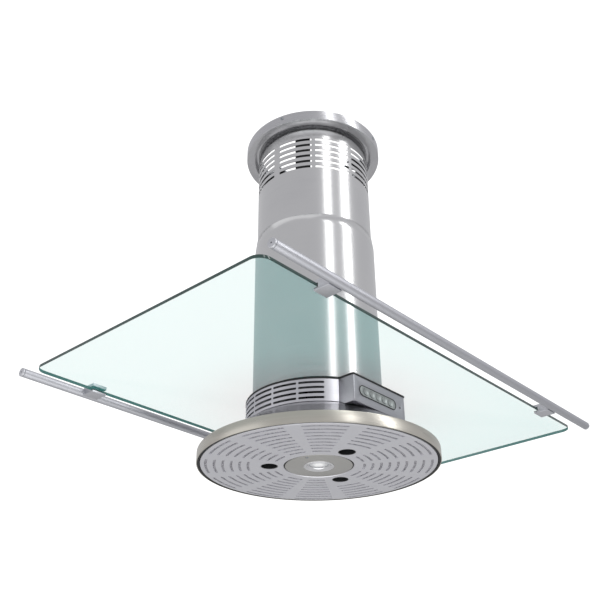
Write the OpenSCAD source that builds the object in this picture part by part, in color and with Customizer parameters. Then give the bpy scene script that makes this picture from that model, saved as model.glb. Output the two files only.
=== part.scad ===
// Island range hood: round telescoping column, glass canopy with two rails,
// control drum and a suction disc with a pull-off filter plate.
// Millimetres, +Z up. The origin is the centre of the ceiling face, the front is -Y.

/* [Overall] */
// Height from the ceiling to the underside of the filter plate
overall_drop = 702; // [640:1:860]
// Width of the glass canopy
canopy_w = 885; // [700:5:1100]
// Depth of the glass canopy
canopy_d = 528; // [420:2:660]

/* [Canopy] */
// Thickness of the toughened glass
canopy_t = 6; // [5:0.5:10]
// Radius of the canopy's corners
canopy_corner_r = 20; // [5:1:60]
// How far the canopy's centre sits in front of the column's axis
canopy_forward = 22; // [0:1:40]
// Height of the glass underside above the filter plate
canopy_lift = 115.5; // [105:0.5:150]
// Thickness of the gasket between the drum and the glass
gasket_t = 3.5; // [2:0.5:6]
// Thickness of the washer between the glass and the carrier ring
washer_t = 1; // [0.5:0.5:3]

/* [Column] */
// Outer radius of the lower column cover
cover_r = 120; // [112:1:150]
// Radius that the upper cover is smaller by
cover_step = 4; // [3:0.5:8]
// Sheet thickness of both covers
cover_wall = 1; // [0.8:0.1:2]
// Height of the lower cover's top edge above the filter plate
seam_lift = 465; // [420:5:520]
// Length of the tapered neck of the lower cover
neck_len = 20; // [10:1:40]
// Length of upper cover hidden inside the lower one
cover_overlap = 165; // [130:5:180]
// How far the hood can be lowered from the modelled height
lower_travel = 110; // [60:5:120]
// How far the hood can be raised from the modelled height
raise_travel = 80; // [40:5:85]

/* [Column vents] */
// Rows of vent slots
vent_rows = 6; // [1:1:8]
// Distance between rows
vent_pitch = 13.7; // [9:0.1:16]
// Height of one slot
vent_slot_h = 5.6; // [3:0.1:8]
// Depth of the first row's centre below the ceiling
vent_first = 53; // [40:1:70]
// Groups of slots round the column
vent_groups = 9; // [6:1:12]
// Angle of the post between two groups
vent_post = 3.4; // [2:0.1:8]

/* [Ceiling] */
// How far the ceiling collar stands out from the upper cover
collar_out = 26; // [22:1:60]
// Height of the ceiling collar
collar_h = 21.5; // [18:0.5:40]
// Radial width of the collar's flat lower face
collar_face = 18; // [6:0.5:20]
// Sheet thickness of the collar
collar_t = 1.2; // [0.8:0.1:2]
// Thickness of the ceiling ring
ring_t = 3; // [2:0.5:5]
// Distance from the upper cover to the centres of the ceiling holes
ceiling_hole_out = 10; // [9:0.5:15]
// Radius of a ceiling fixing hole
ceiling_hole_r = 3.25; // [2.5:0.25:4.5]

/* [Frame] */
// Width of a frame strut
strut_w = 30; // [20:1:36]
// Thickness of a frame strut
strut_t = 2.5; // [2:0.5:4]
// Radius of the frame's bolts
bolt_r = 3; // [2.5:0.5:4]

/* [Drum] */
// How far the drum stands out from the lower cover
drum_step = 12; // [6:1:30]
// Height of the drum's lower edge above the filter plate
drum_lift = 71; // [66:1:80]
// Sheet thickness of the drum and control box
drum_wall = 1.5; // [1:0.1:2]
// Groups of slots round the drum
drum_groups = 13; // [6:1:16]
// Angle from the front to the first group of slots
drum_slot_start = 43.4; // [40:0.1:60]
// Angle of the post between two groups of slots
drum_post = 1.6; // [1:0.1:4]
// Rows of slots in the drum
drum_rows = 4; // [1:1:4]
// Distance between the drum's rows
drum_pitch = 9.3; // [7:0.1:9.5]
// Height of one slot in the drum
drum_slot_h = 4; // [2:0.1:6]

/* [Controls] */
// Width of the control box
box_w = 145; // [136:1:180]
// How far the control box stands out from the drum
box_out = 11; // [9:0.5:20]
// Height of the control box's floor above the filter plate
box_lift = 64.5; // [62:0.5:68]
// Length of the keypad
keypad_w = 103; // [100:1:115]
// Height of the keypad
keypad_h = 19.6; // [16:0.2:22]
// Sideways place of the keypad's centre
keypad_x = -6; // [-10:1:0]
// Height of the keypad's centre above the filter plate
keypad_lift = 88.5; // [86:0.5:92]
// Distance between buttons
button_pitch = 17.2; // [15:0.1:18]
// Radius of a button
button_r = 6; // [4:0.1:6.4]
// Travel of a button
button_travel = 1.2; // [0.5:0.1:1.5]
// Running gap round a button
button_gap = 0.2; // [0.15:0.05:0.3]

/* [Suction disc] */
// Outer radius of the disc's rim
disc_r = 217; // [195:1:270]
// Height of the disc's rim
rim_h = 21; // [18:0.5:30]
// Sheet thickness of the rim
rim_t = 1.5; // [1:0.1:2]
// Gap between the rim and the filter plate
plate_gap = 6.5; // [5:0.5:9]
// Sheet thickness of the filter plate
plate_t = 1.2; // [1:0.1:2]
// Sectors of slots in the filter plate
plate_sectors = 12; // [6:1:18]
// Rows of slots in the filter plate
plate_rows = 9; // [4:1:12]
// Radius of the innermost row
plate_row_first = 81.4; // [76:0.2:84]
// Distance between rows
plate_pitch = 14.9; // [10:0.1:15.2]
// Width of one slot
plate_slot = 4.4; // [2:0.1:6]
// Angle of the blank spoke between sectors
plate_spoke = 8; // [5:0.5:12]
// Radius of a finger hole
finger_r = 15.5; // [12:0.5:16]
// Circle of the finger holes
finger_pcd = 176; // [172:1:186]
// How far the filter plate pulls down
plate_drop = 120; // [40:5:200]

/* [Lamp] */
// Radius of the lamp cap
lamp_cap_r = 60.6; // [56:0.2:62]
// Radius of the lamp's bezel
bezel_r = 27.5; // [24:0.5:32]
// Radius of the lamp's lens
lens_r = 18; // [14:0.5:20]

/* [Blower] */
// Radius of the outlet spigot
spigot_r = 75; // [60:1:78]
// Length of the outlet spigot
spigot_len = 70; // [60:1:90]
// Radius of the motor's shaft
shaft_r = 4; // [3:0.5:6]
// Blades of the impeller
blades = 12; // [8:1:16]

/* [Rails] */
// How far a rail runs past the glass at each end
rail_over = 7.5; // [0:0.5:40]
// Radius of a rail
rail_r = 7.5; // [6:0.5:10]
// Distance from the glass edge to a rail's axis
rail_out = 27; // [20:0.5:32]
// Distance from the glass's end to the middle of a clamp
clamp_inset = 127.5; // [60:2.5:180]
// Width of a clamp
clamp_w = 28; // [20:1:40]
// Depth of glass that a clamp grips
clamp_grip = 7; // [4:0.5:12]

/* [Hidden] */
$fn = 64;

cut = 1;                                   // how far a cutter runs past a face
gap = 0.2;                                 // assembly gap between fixed sheets
slide_gap = 0.4;                           // gap between pieces that slide past each other
pin_gap = 0.06;                            // radial clearance of a running pin or shaft
base = -overall_drop;                      // underside of the filter plate
glass_bottom = base + canopy_lift;
glass_top = glass_bottom + canopy_t;
glass_mid = glass_bottom + canopy_t / 2;
drum_top = glass_bottom - gasket_t;
drum_bottom = base + drum_lift;
drum_r = cover_r + drum_step;
seam = base + seam_lift;
carrier_bottom = glass_top + washer_t;
carrier_t = 3;
carrier_top = carrier_bottom + carrier_t;
upper_r = cover_r - cover_step;
upper_inner = upper_r - cover_wall;
upper_bottom = seam - cover_overlap;
upper_top = -ring_t - 0.6;
collar_r = upper_r + collar_out;
ceiling_pcd = 2 * (upper_r + ceiling_hole_out);

// frame chain, from the upper cover inwards
bolt_head_h = 4;
bolt_head_r = bolt_r * 1.7;
strut_az = [90, 210, 330];
upper_strut_r = upper_inner - bolt_head_h - 2.5 - strut_t;
lower_strut_r = upper_strut_r - gap - strut_t;
bolt_low = upper_bottom + 130;             // lower bolt of a strut
bolt_rise = 40;                            // distance between a strut's two bolts
foot_len = 14;
shell_r = lower_strut_r - 5.3;             // blower housing
glass_hole_r = cover_r - 22;
carrier_hole_r = cover_r - 40;
canopy_screw_r = 3;
canopy_screw_circle = cover_r - 28;
canopy_screw_count = 6;
carrier_outer_r = cover_r - cover_wall - 1.5;

// ceiling ring
ring_outer_r = collar_r - collar_t - 0.5;
ring_flange = 14;
ring_inner_r = upper_inner - 3;
tab_inner_r = upper_strut_r - 27;
tab_screw_r = upper_strut_r - 15;
collar_screw_az = 15;
collar_screw_r = 2;
collar_screw_z = -ring_t - 4.5;

// control box and keypad
box_front = -(drum_r + box_out);
box_floor = base + box_lift;
keypad_z = base + keypad_lift;
seal_w = 1.2;
seal_proud = 0.8;
switch_face = box_front + 8;
board_face = box_front + 11.5;
board_t = 1.6;
lens_x = box_w / 2 - 15;

// suction disc
plate_r = disc_r - plate_gap;
cone_top_r = drum_r - 1;
cone_foot_r = disc_r - 5;
cone_foot = base + rim_h - rim_t;
cone_top = drum_bottom - 0.05;
cone_t = 1.2;
collar_in_r = drum_r - drum_wall - gap;
sector_az = 14;
plate_bore_r = lamp_cap_r + 2;
plate_flange = 8;
filter_bottom = base + plate_t;
filter_t = 6;
catch_r = plate_r - 6.5;
catch_az = [59, 179, 299];
filter_outer_r = plate_r - plate_t - 0.4;
finger_az = [14, 134, 254];
cup_t = 1.4;
cup_h = 14;
bracket_z = base + 24;
bracket_t = 2;
bracket_az = [60, 180, 300];

// blower
housing_wall = 1.2;
housing_h = 205;
housing_top = carrier_top + housing_h;
inlet_r = cover_r - 56;
wheel_r = shell_r - 14;
eye_r = wheel_r - 24;
wheel_bottom = carrier_top + 26;
wheel_top = wheel_bottom + 55;
hub_r = 12;
motor_r = 44;
motor_bottom = wheel_top + 20;
motor_top = motor_bottom + 72;
mount_t = 2;
spigot_wall = 1.5;
spigot_base_t = 3;
spigot_top = housing_top + spigot_len;
damper_z = housing_top + 32;
damper_pin_r = 1.5;
flap_r = spigot_r - spigot_wall - 1;
flap_t = 1.2;
knuckle_r = 3;

// rails
rail_front_y = -canopy_forward - canopy_d / 2;
rail_rear_y = -canopy_forward + canopy_d / 2;
rail_wall = 1.5;
rail_len = canopy_w + 2 * rail_over;
clamp_x = canopy_w / 2 - clamp_inset;
cap_t = 4;
pad_t = 0.8;
jaw_t = 3.5;
upper_jaw_t = 5;
jaw_out = 21;
clamp_screw_y = 9;
clamp_screw_r = 2;

module tube(outer, inner, z0, z1) {
    translate([0, 0, z0])
        linear_extrude(z1 - z0)
            difference() {
                circle(outer);
                circle(inner);
            }
}

module disc(r, z0, z1) {
    translate([0, 0, z0]) cylinder(h = z1 - z0, r = r);
}

module sector_2d(r, from, to) {
    // a wedge of under 90 degrees, cut with straight sides beyond the radius
    far = r * 1.5;
    mid = (from + to) / 2;
    polygon([[0, 0], [far * cos(from), far * sin(from)], [far * cos(mid), far * sin(mid)],
        [far * cos(to), far * sin(to)]]);
}

module round_rect_2d(w, d, r) {
    square([w - 2 * r, d], center = true);
    square([w, d - 2 * r], center = true);
    for (x = [-1, 1], y = [-1, 1])
        translate([x * (w / 2 - r), y * (d / 2 - r)]) circle(r);
}

module stadium_2d(w, h) {
    square([w - h, h], center = true);
    for (x = [-1, 1]) translate([x * (w - h) / 2, 0]) circle(h / 2);
}

// a stadium-shaped prism on the control box's front, from depth y0 to y1
module stadium_prism(w, h, y0, y1) {
    translate([keypad_x, y1, keypad_z])
        rotate([90, 0, 0]) linear_extrude(y1 - y0) stadium_2d(w, h);
}

module rod_y(x, z, r, y0, y1) {
    translate([x, y0, z]) rotate([-90, 0, 0]) cylinder(h = y1 - y0, r = r);
}

module rod_x(y, z, r, x0, x1) {
    translate([x0, y, z]) rotate([0, 90, 0]) cylinder(h = x1 - x0, r = r);
}

// ---------------------------------------------------------------- ceiling

module ceiling_ring() {
    color("#5b5f63")
    difference() {
        union() {
            tube(ring_outer_r, ring_inner_r, -ring_t, 0);
            tube(ring_outer_r, ring_outer_r - 2, -ring_t - ring_flange, -ring_t);
            tube(upper_inner - gap, upper_inner - gap - 2, -ring_t - 9, -ring_t);
            for (a = strut_az)
                rotate(a) translate([tab_inner_r, -strut_w / 2 - 3, -ring_t])
                    cube([ring_inner_r - tab_inner_r + 3, strut_w + 6, ring_t]);
        }
        for (a = [45:90:315])
            rotate(a) translate([ceiling_pcd / 2, 0, -ring_t - cut])
                cylinder(h = ring_t + 2 * cut, r = ceiling_hole_r);
        for (a = strut_az)
            rotate(a) translate([tab_screw_r, 0, -ring_t - cut])
                cylinder(h = ring_t + 2 * cut, r = bolt_r);
        for (k = [0:3])
            rotate(collar_screw_az + 90 * k)
                rod_x(0, collar_screw_z, collar_screw_r, ring_outer_r - 4, ring_outer_r + cut);
    }
}

module ceiling_collar() {
    inner = collar_r - collar_face;
    recess = collar_h - 10.5;
    neck = upper_r + 0.5;
    color("#b9bbbd")
    difference() {
        rotate_extrude()
            polygon([[collar_r - 0.8, -collar_h], [collar_r, -collar_h + 0.8], [collar_r, -0.2],
                [collar_r - collar_t, -0.2], [collar_r - collar_t, -collar_h + collar_t],
                [inner + collar_t, -collar_h + collar_t], [inner + collar_t, -recess],
                [neck, -recess], [neck, -recess - collar_t], [inner, -recess - collar_t],
                [inner, -collar_h + 0.8], [inner + 0.8, -collar_h]]);
        for (k = [0:3])
            rotate(collar_screw_az + 90 * k)
                rod_x(0, collar_screw_z, collar_screw_r, collar_r - 4, collar_r + cut);
    }
}

module collar_screws() {
    color("#c9cbcd")
    for (k = [0:3])
        rotate(collar_screw_az + 90 * k) {
            rod_x(0, collar_screw_z, collar_screw_r, ring_outer_r - 5, collar_r);
            difference() {
                rod_x(0, collar_screw_z, 3.6, collar_r + 0.02, collar_r + 1.8);
                translate([collar_r + 1, -2.6, collar_screw_z - 0.5]) cube([cut, 5.2, 1]);
            }
            rod_x(0, collar_screw_z, collar_screw_r, collar_r, collar_r + 0.5);
        }
}

// ring screws hang the upper struts from the ring's tabs
module ring_screws() {
    color("#c9cbcd")
    for (a = strut_az)
        rotate(a) translate([tab_screw_r, 0, 0]) {
            disc(bolt_r, -ring_t - strut_t - 0.5, -0.3);
            translate([0, 0, -ring_t - strut_t - 4]) cylinder(h = 4, r = bolt_head_r, $fn = 6);
        }
}

module strut_bar(r, z0, z1) {
    translate([r, -strut_w / 2, z0]) cube([strut_t, strut_w, z1 - z0]);
}

module upper_struts() {
    slot_low = bolt_low - lower_travel - bolt_r - 1;
    slot_high = bolt_low + bolt_rise + raise_travel + bolt_r + 1;
    color("#26282a")
    for (a = strut_az)
        rotate(a)
            difference() {
                union() {
                    strut_bar(upper_strut_r, slot_low - 14, -ring_t);
                    translate([upper_strut_r - 24, -strut_w / 2, -ring_t - strut_t])
                        cube([24 + strut_t, strut_w, strut_t]);
                }
                translate([tab_screw_r, 0, -ring_t - strut_t - cut])
                    cylinder(h = strut_t + 2 * cut, r = bolt_r);
                // long slot that the frame bolts slide in
                rod_x(0, slot_low, bolt_r + slide_gap, upper_strut_r - cut, upper_strut_r + strut_t + cut);
                rod_x(0, slot_high, bolt_r + slide_gap, upper_strut_r - cut, upper_strut_r + strut_t + cut);
                translate([upper_strut_r - cut, -bolt_r - slide_gap, slot_low])
                    cube([strut_t + 2 * cut, 2 * (bolt_r + slide_gap), slot_high - slot_low]);
                rod_x(0, -69, bolt_r, upper_strut_r - cut, upper_strut_r + strut_t + cut);
            }
}

module upper_cover() {
    group_angle = 360 / vent_groups;
    color("#c3c5c7")
    difference() {
        tube(upper_r, upper_inner, upper_bottom, upper_top);
        intersection() {
            for (k = [0:vent_rows - 1])
                tube(upper_r + cut, upper_inner - cut, -vent_first - k * vent_pitch - vent_slot_h / 2,
                    -vent_first - k * vent_pitch + vent_slot_h / 2);
            translate([0, 0, -vent_first - vent_rows * vent_pitch])
                linear_extrude((vent_rows + 1) * vent_pitch)
                    for (g = [0:vent_groups - 1])
                        rotate(-178.5 + g * group_angle)
                            sector_2d(upper_r + 2, g == 0 ? vent_post : vent_post / 2,
                                group_angle - (g == vent_groups - 1 ? vent_post : vent_post / 2));
        }
    }
}

// ---------------------------------------------------------------- frame and covers of the hood

module lower_struts() {
    top = bolt_low + bolt_rise + 20;
    color("#34373a")
    for (a = strut_az)
        rotate(a)
            difference() {
                union() {
                    strut_bar(lower_strut_r, carrier_top, top);
                    translate([lower_strut_r, -strut_w / 2, carrier_top])
                        cube([foot_len, strut_w, strut_t]);
                }
                translate([lower_strut_r + 8, 0, carrier_top - cut])
                    cylinder(h = strut_t + 2 * cut, r = bolt_r);
                for (z = [bolt_low, bolt_low + bolt_rise])
                    rod_x(0, z, bolt_r, lower_strut_r - cut, lower_strut_r + strut_t + cut);
            }
}

module strut_bolts() {
    head_face = upper_strut_r + strut_t + gap;
    color("#c9cbcd")
    for (a = strut_az)
        rotate(a) {
            for (z = [bolt_low, bolt_low + bolt_rise]) {
                rod_x(0, z, bolt_r, lower_strut_r - 5, head_face + 1);
                translate([head_face, 0, z]) rotate([0, 90, 0])
                    cylinder(h = bolt_head_h, r = bolt_head_r, $fn = 6);
                translate([lower_strut_r - 4.6, 0, z]) rotate([0, 90, 0])
                    cylinder(h = 4.6, r = bolt_head_r, $fn = 6);
            }
            translate([lower_strut_r + 8, 0, 0]) {
                disc(bolt_r, carrier_bottom + 0.2, carrier_top + strut_t + 1);
                translate([0, 0, carrier_top + strut_t])
                    cylinder(h = bolt_head_h, r = bolt_head_r, $fn = 6);
            }
        }
}

module lower_cover() {
    neck_inner = upper_r + slide_gap;
    color("#c8caca")
    rotate_extrude()
        polygon([[cover_r - cover_wall, glass_top + 0.5], [cover_r, glass_top + 0.5],
            [cover_r, seam - neck_len], [neck_inner + cover_wall, seam], [neck_inner, seam],
            [cover_r - cover_wall, seam - neck_len]]);
}

module glass_washer() {
    color("#202224")
    tube(carrier_outer_r, glass_hole_r + 2, glass_top, carrier_bottom);
}

module carrier_ring() {
    color("#8b8f93")
    difference() {
        tube(carrier_outer_r, carrier_hole_r, carrier_bottom, carrier_top);
        for (k = [0:canopy_screw_count - 1])
            rotate(k * 360 / canopy_screw_count) translate([canopy_screw_circle, 0, carrier_bottom - cut])
                cylinder(h = carrier_t + 2 * cut, r = canopy_screw_r);
        for (a = strut_az)
            rotate(a) translate([lower_strut_r + 8, 0, carrier_bottom - cut])
                cylinder(h = carrier_t + 2 * cut, r = bolt_r);
    }
}

// screws and spacers that draw the drum up to the carrier ring through the glass opening
module canopy_screws() {
    color("#c9cbcd")
    for (k = [0:canopy_screw_count - 1])
        rotate(k * 360 / canopy_screw_count) translate([canopy_screw_circle, 0, 0]) {
            disc(canopy_screw_r, drum_top - drum_wall - 1, carrier_top - 0.3);
            disc(5, drum_top, carrier_bottom);
            translate([0, 0, drum_top - drum_wall - 4])
                cylinder(h = 4, r = 5, $fn = 6);
        }
}

module glass_canopy() {
    color([0.80, 0.93, 0.90, 0.35])
    translate([0, 0, glass_bottom])
        linear_extrude(canopy_t)
            difference() {
                translate([0, -canopy_forward]) round_rect_2d(canopy_w, canopy_d, canopy_corner_r);
                circle(glass_hole_r);
            }
}

// ---------------------------------------------------------------- drum and controls

module drum_gasket() {
    color("#141516")
    translate([0, 0, drum_top])
        linear_extrude(gasket_t)
            difference() {
                union() {
                    circle(drum_r + 0.4);
                    translate([-box_w / 2 - 0.4, box_front - 0.4]) square([box_w + 0.8, -box_front]);
                }
                circle(glass_hole_r);
            }
}

module drum_housing() {
    slot_arc = 360 - 2 * drum_slot_start;
    group_angle = slot_arc / drum_groups;
    first_row = keypad_z - 1.5 * drum_pitch + 3;
    color("#bfc1c4")
    difference() {
        union() {
            tube(drum_r, drum_r - drum_wall, drum_bottom, drum_top);
            tube(drum_r, carrier_hole_r, drum_top - drum_wall, drum_top);
        }
        // opening behind the control box
        translate([-box_w / 2 + 5, box_front, drum_bottom + 3])
            cube([box_w - 10, box_out + 60, drum_top - drum_wall - drum_bottom - 5]);
        for (k = [0:canopy_screw_count - 1])
            rotate(k * 360 / canopy_screw_count)
                translate([canopy_screw_circle, 0, drum_top - drum_wall - cut])
                    cylinder(h = drum_wall + 2 * cut, r = canopy_screw_r);
        intersection() {
            for (k = [0:drum_rows - 1])
                tube(drum_r + cut, drum_r - drum_wall - cut, first_row + k * drum_pitch - drum_slot_h / 2,
                    first_row + k * drum_pitch + drum_slot_h / 2);
            translate([0, 0, drum_bottom])
                linear_extrude(drum_top - drum_bottom)
                    for (g = [0:drum_groups - 1])
                        rotate(-90 + drum_slot_start + g * group_angle)
                            sector_2d(drum_r + 2, drum_post / 2, group_angle - drum_post / 2);
        }
    }
}

module control_box() {
    color("#b4b6ba")
    difference() {
        translate([-box_w / 2, box_front, box_floor])
            cube([box_w, -box_front - 90, drum_top - box_floor]);
        translate([-box_w / 2 + drum_wall, box_front + drum_wall, box_floor + drum_wall])
            cube([box_w - 2 * drum_wall, -box_front, drum_top - box_floor - 2 * drum_wall]);
        disc(drum_r + 0.1, box_floor - cut, drum_top + cut);
        cone_cutter(0.3);
        stadium_prism(keypad_w + 0.2, keypad_h + 0.2, box_front - cut, box_front + drum_wall + cut);
        rod_y(lens_x, keypad_z, 2, box_front - cut, box_front + drum_wall + cut);
    }
}

module keypad_seal() {
    color("#111213")
    difference() {
        union() {
            stadium_prism(keypad_w, keypad_h, box_front - seal_proud, box_front + drum_wall);
            stadium_prism(keypad_w + 3, keypad_h + 3, box_front + drum_wall, box_front + drum_wall + 1);
        }
        stadium_prism(keypad_w - 2 * seal_w, keypad_h - 2 * seal_w, box_front - 2, box_front + 4);
    }
}

module keypad_plate() {
    color("#c4c6c8")
    difference() {
        stadium_prism(keypad_w - 2 * seal_w - 0.1, keypad_h - 2 * seal_w - 0.1, box_front - 0.4,
            box_front + 2);
        for (k = [0:4])
            rod_y(button_x(k), keypad_z, button_r + button_gap, box_front - cut, box_front + 3);
    }
}

function button_x(k) = keypad_x + (k - 2) * button_pitch;

module button(k) {
    color("#d2d4d6")
    difference() {
        union() {
            rod_y(button_x(k), keypad_z, button_r, box_front - 1.2, box_front + 2.4);
            rod_y(button_x(k), keypad_z, button_r + 0.9, box_front + 2.3, box_front + 3.3);
            rod_y(button_x(k), keypad_z, 2, box_front + 3, switch_face - button_travel - 0.1);
        }
        // dished face
        translate([button_x(k), box_front - 1.2 - 21, keypad_z]) sphere(21.5);
    }
}

module control_board() {
    board_h = 27;
    left = keypad_x - 54;
    color("#1d6b3c")
    union() {
        translate([left, board_face, keypad_z - board_h / 2])
            cube([lens_x + 5 - left, board_t, board_h]);
        // one small switch behind each button
        for (k = [0:4])
            translate([button_x(k) - 3, switch_face, keypad_z - 3])
                cube([6, board_face - switch_face + 0.1, 6]);
        // lamp behind the status lens
        rod_y(lens_x, keypad_z, 1.4, box_front + 7, board_face + 0.1);
        for (x = [-1, 1], z = [-1, 1])
            rod_y(keypad_x + x * 50, keypad_z + z * 12.2, 1.2, box_front + drum_wall, board_face + 0.1);
    }
}

module status_lens() {
    color("#2a2c2e")
    union() {
        rod_y(lens_x, keypad_z, 1.9, box_front - 0.2, box_front + 6);
        rod_y(lens_x, keypad_z, 2.8, box_front + drum_wall + 0.1, box_front + 3);
    }
}

// ---------------------------------------------------------------- suction disc

// everything below the cone's top face, raised by a clearance
module cone_cutter(lift) {
    cone_drop = cone_top - cone_foot;
    slope = cone_drop / (cone_foot_r - cone_top_r);
    run = 30;
    translate([0, 0, cone_foot - run * slope + lift])
        cylinder(h = cone_drop + 30 * slope, r1 = cone_foot_r + run, r2 = cone_top_r);
}

module disc_cover() {
    color("#a9abae")
    rotate_extrude()
        polygon([[cone_foot_r + 2.5, cone_foot], [cone_foot_r, cone_foot], [cone_top_r, cone_top],
            [collar_in_r, cone_top], [collar_in_r, cone_top + 3.5],
            [collar_in_r - cone_t, cone_top + 3.5], [collar_in_r - cone_t, cone_top - 1.4],
            [cone_foot_r - 0.3, cone_foot - cone_t], [cone_foot_r + 2.5, cone_foot - cone_t]]);
}

module disc_rim() {
    top = base + rim_h;
    color("#aaa79d")
    rotate_extrude()
        polygon([[disc_r - rim_t, base + 0.3], [disc_r - 0.5, base + 0.3], [disc_r, base + 0.8],
            [disc_r, top - 0.7], [disc_r - 0.7, top], [cone_foot_r + 0.3, top],
            [cone_foot_r + 0.3, top - rim_t + 0.1], [disc_r - rim_t, top - rim_t + 0.1]]);
}

module rim_seal() {
    color("#0e0f10")
    tube(disc_r - rim_t, plate_r + 1.1, base + 1.2, base + 4.5);
}

module plate_slots_2d() {
    step = 360 / plate_sectors;
    intersection() {
        for (k = [0:plate_rows - 1])
            difference() {
                circle(plate_row_first + k * plate_pitch + plate_slot / 2);
                circle(plate_row_first + k * plate_pitch - plate_slot / 2);
            }
        difference() {
            for (s = [0:plate_sectors - 1])
                rotate(sector_az + s * step)
                    sector_2d(plate_r, -(step - plate_spoke) / 2, (step - plate_spoke) / 2);
            // the three rows that a finger hole displaces
            for (a = finger_az)
                rotate(a)
                    intersection() {
                        circle(plate_row_first + 2.5 * plate_pitch);
                        sector_2d(plate_r, -step / 2, step / 2);
                    }
        }
        circle(plate_r - 4);
    }
}

module filter_plate() {
    color("#c9cacb")
    difference() {
        union() {
            disc(plate_r, base, base + plate_t);
            tube(plate_r, plate_r - plate_t, base, base + plate_flange);
            tube(plate_bore_r + plate_t, plate_bore_r, base, base + plate_flange);
        }
        translate([0, 0, base - cut])
            linear_extrude(plate_t + 2 * cut) {
                circle(plate_bore_r);
                plate_slots_2d();
                for (a = finger_az) rotate(a) translate([finger_pcd / 2, 0]) circle(finger_r);
            }
    }
}

module grease_filter() {
    color("#9da1a4")
    difference() {
        tube(filter_outer_r, plate_bore_r + 4, filter_bottom, filter_bottom + filter_t);
        for (a = finger_az)
            rotate(a) translate([finger_pcd / 2, 0, filter_bottom - cut])
                cylinder(h = filter_t + 2 * cut, r = finger_r + 3);
        for (a = catch_az)
            rotate(a) translate([catch_r, 0, filter_bottom - cut])
                cylinder(h = filter_t + 2 * cut, r = 3.2);
    }
}

module finger_cups() {
    color("#17181a")
    for (a = finger_az)
        rotate(a) translate([finger_pcd / 2, 0, 0])
            difference() {
                union() {
                    disc(finger_r - 0.1, base + 0.2, base + cup_h);
                    disc(finger_r + 2, base + plate_t, base + plate_t + 1.2);
                }
                disc(finger_r - cup_t, base - cut, base + cup_h - cup_t);
            }
}

module catch_studs() {
    color("#c9cbcd")
    for (a = catch_az)
        rotate(a) translate([catch_r, 0, 0]) {
            disc(1.6, base + plate_t, base + 14);
            disc(2.6, base + plate_t, base + plate_t + 2);
            translate([0, 0, base + 12]) cylinder(h = 2.5, r1 = 1.6, r2 = 2.6);
            translate([0, 0, base + 14.5]) cylinder(h = 2.5, r1 = 2.6, r2 = 1);
        }
}

// spring clips under the disc cover that hold the studs
module catch_clips() {
    color("#3a3c3e")
    for (a = catch_az)
        rotate(a)
            intersection() {
                difference() {
                    translate([catch_r - 4.5, -6, base + 9.5]) cube([9, 12, 30]);
                    translate([catch_r, 0, base + 9]) cylinder(h = 9.5, r = 2.6 + slide_gap);
                    translate([catch_r - 6, -0.8, base + 9]) cube([12, 1.6, 6]);
                }
                cone_cutter(-cone_t - 0.8);
            }
}

module lamp_bracket() {
    outer = collar_in_r - cone_t - 0.3;
    color("#7d8185")
    difference() {
        union() {
            disc(lamp_cap_r - 1.4, bracket_z, bracket_z + bracket_t);
            for (a = bracket_az)
                rotate(a) {
                    translate([lamp_cap_r - 8, -9, bracket_z])
                        cube([outer - lamp_cap_r + 7.5, 18, bracket_t]);
                    translate([outer - 2.2, -9, bracket_z]) cube([2, 18, drum_bottom - bracket_z + 3]);
                }
        }
        disc(lens_r + 6, bracket_z - cut, bracket_z + bracket_t + cut);
        rotate(-162) translate([lamp_cap_r - 8, 0, bracket_z - cut])
            cylinder(h = bracket_t + 2 * cut, r = 1.5);
    }
}

module lamp_cap() {
    color("#b7b6b2")
    difference() {
        union() {
            disc(lamp_cap_r, base + 0.1, base + 1.5);
            tube(lamp_cap_r, lamp_cap_r - 1.2, base + 0.1, bracket_z - 0.1);
        }
        disc(bezel_r - 2, base - cut, base + 2);
        rotate(-162) translate([lamp_cap_r - 8, 0, base - cut])
            cylinder(h = 2 * cut + 2, r = 1.5);
    }
}

module cap_screw() {
    color("#8d9093")
    rotate(-162) translate([lamp_cap_r - 8, 0, 0])
        difference() {
            union() {
                disc(1.5, base - 0.2, bracket_z + bracket_t + 1);
                disc(2.6, base - 0.9, base + 0.08);
            }
            translate([-2, -0.4, base - 1.5]) cube([4, 0.8, 1.1]);
        }
}

module lamp_bezel() {
    color("#c6c6c4")
    rotate_extrude()
        polygon([[bezel_r, base + 0.08], [bezel_r - 0.8, base - 1], [bezel_r - 3, base - 1.6],
            [lens_r + 1, base + 3.2], [lens_r, base + 3.2], [lens_r, base + 4],
            [lens_r + 1.6, base + 4], [lens_r + 1.6, base + 8], [lens_r + 2.6, base + 8],
            [lens_r + 2.6, base + 3.6], [bezel_r - 2.2, base + 1], [bezel_r - 2.2, base + 0.08]]);
}

module lamp_lens() {
    color([0.93, 0.95, 0.96, 0.5])
    union() {
        disc(lens_r + 1.4, base + 4.1, base + 6.4);
        disc(lens_r - 0.5, base + 3, base + 4.4);
    }
}

module lamp_unit() {
    color("#9fa3a6")
    difference() {
        union() {
            disc(lens_r + 1.4, base + 6.6, base + 14);
            disc(12, base + 13, base + 34);
            for (x = [-4, 4]) translate([x, 0, 0]) disc(1, base + 33, base + 40);
        }
        translate([0, 0, base + 6.4]) cylinder(h = 6.4, r1 = lens_r - 1, r2 = 6);
    }
}

// ---------------------------------------------------------------- blower

module blower_housing() {
    color("#53575b")
    difference() {
        disc(shell_r, carrier_top, housing_top);
        disc(shell_r - housing_wall, carrier_top + housing_wall, housing_top - housing_wall);
        disc(inlet_r, carrier_top - cut, carrier_top + 2 * housing_wall);
        disc(spigot_r - spigot_wall, housing_top - 2 * housing_wall, housing_top + cut);
    }
}

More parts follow.
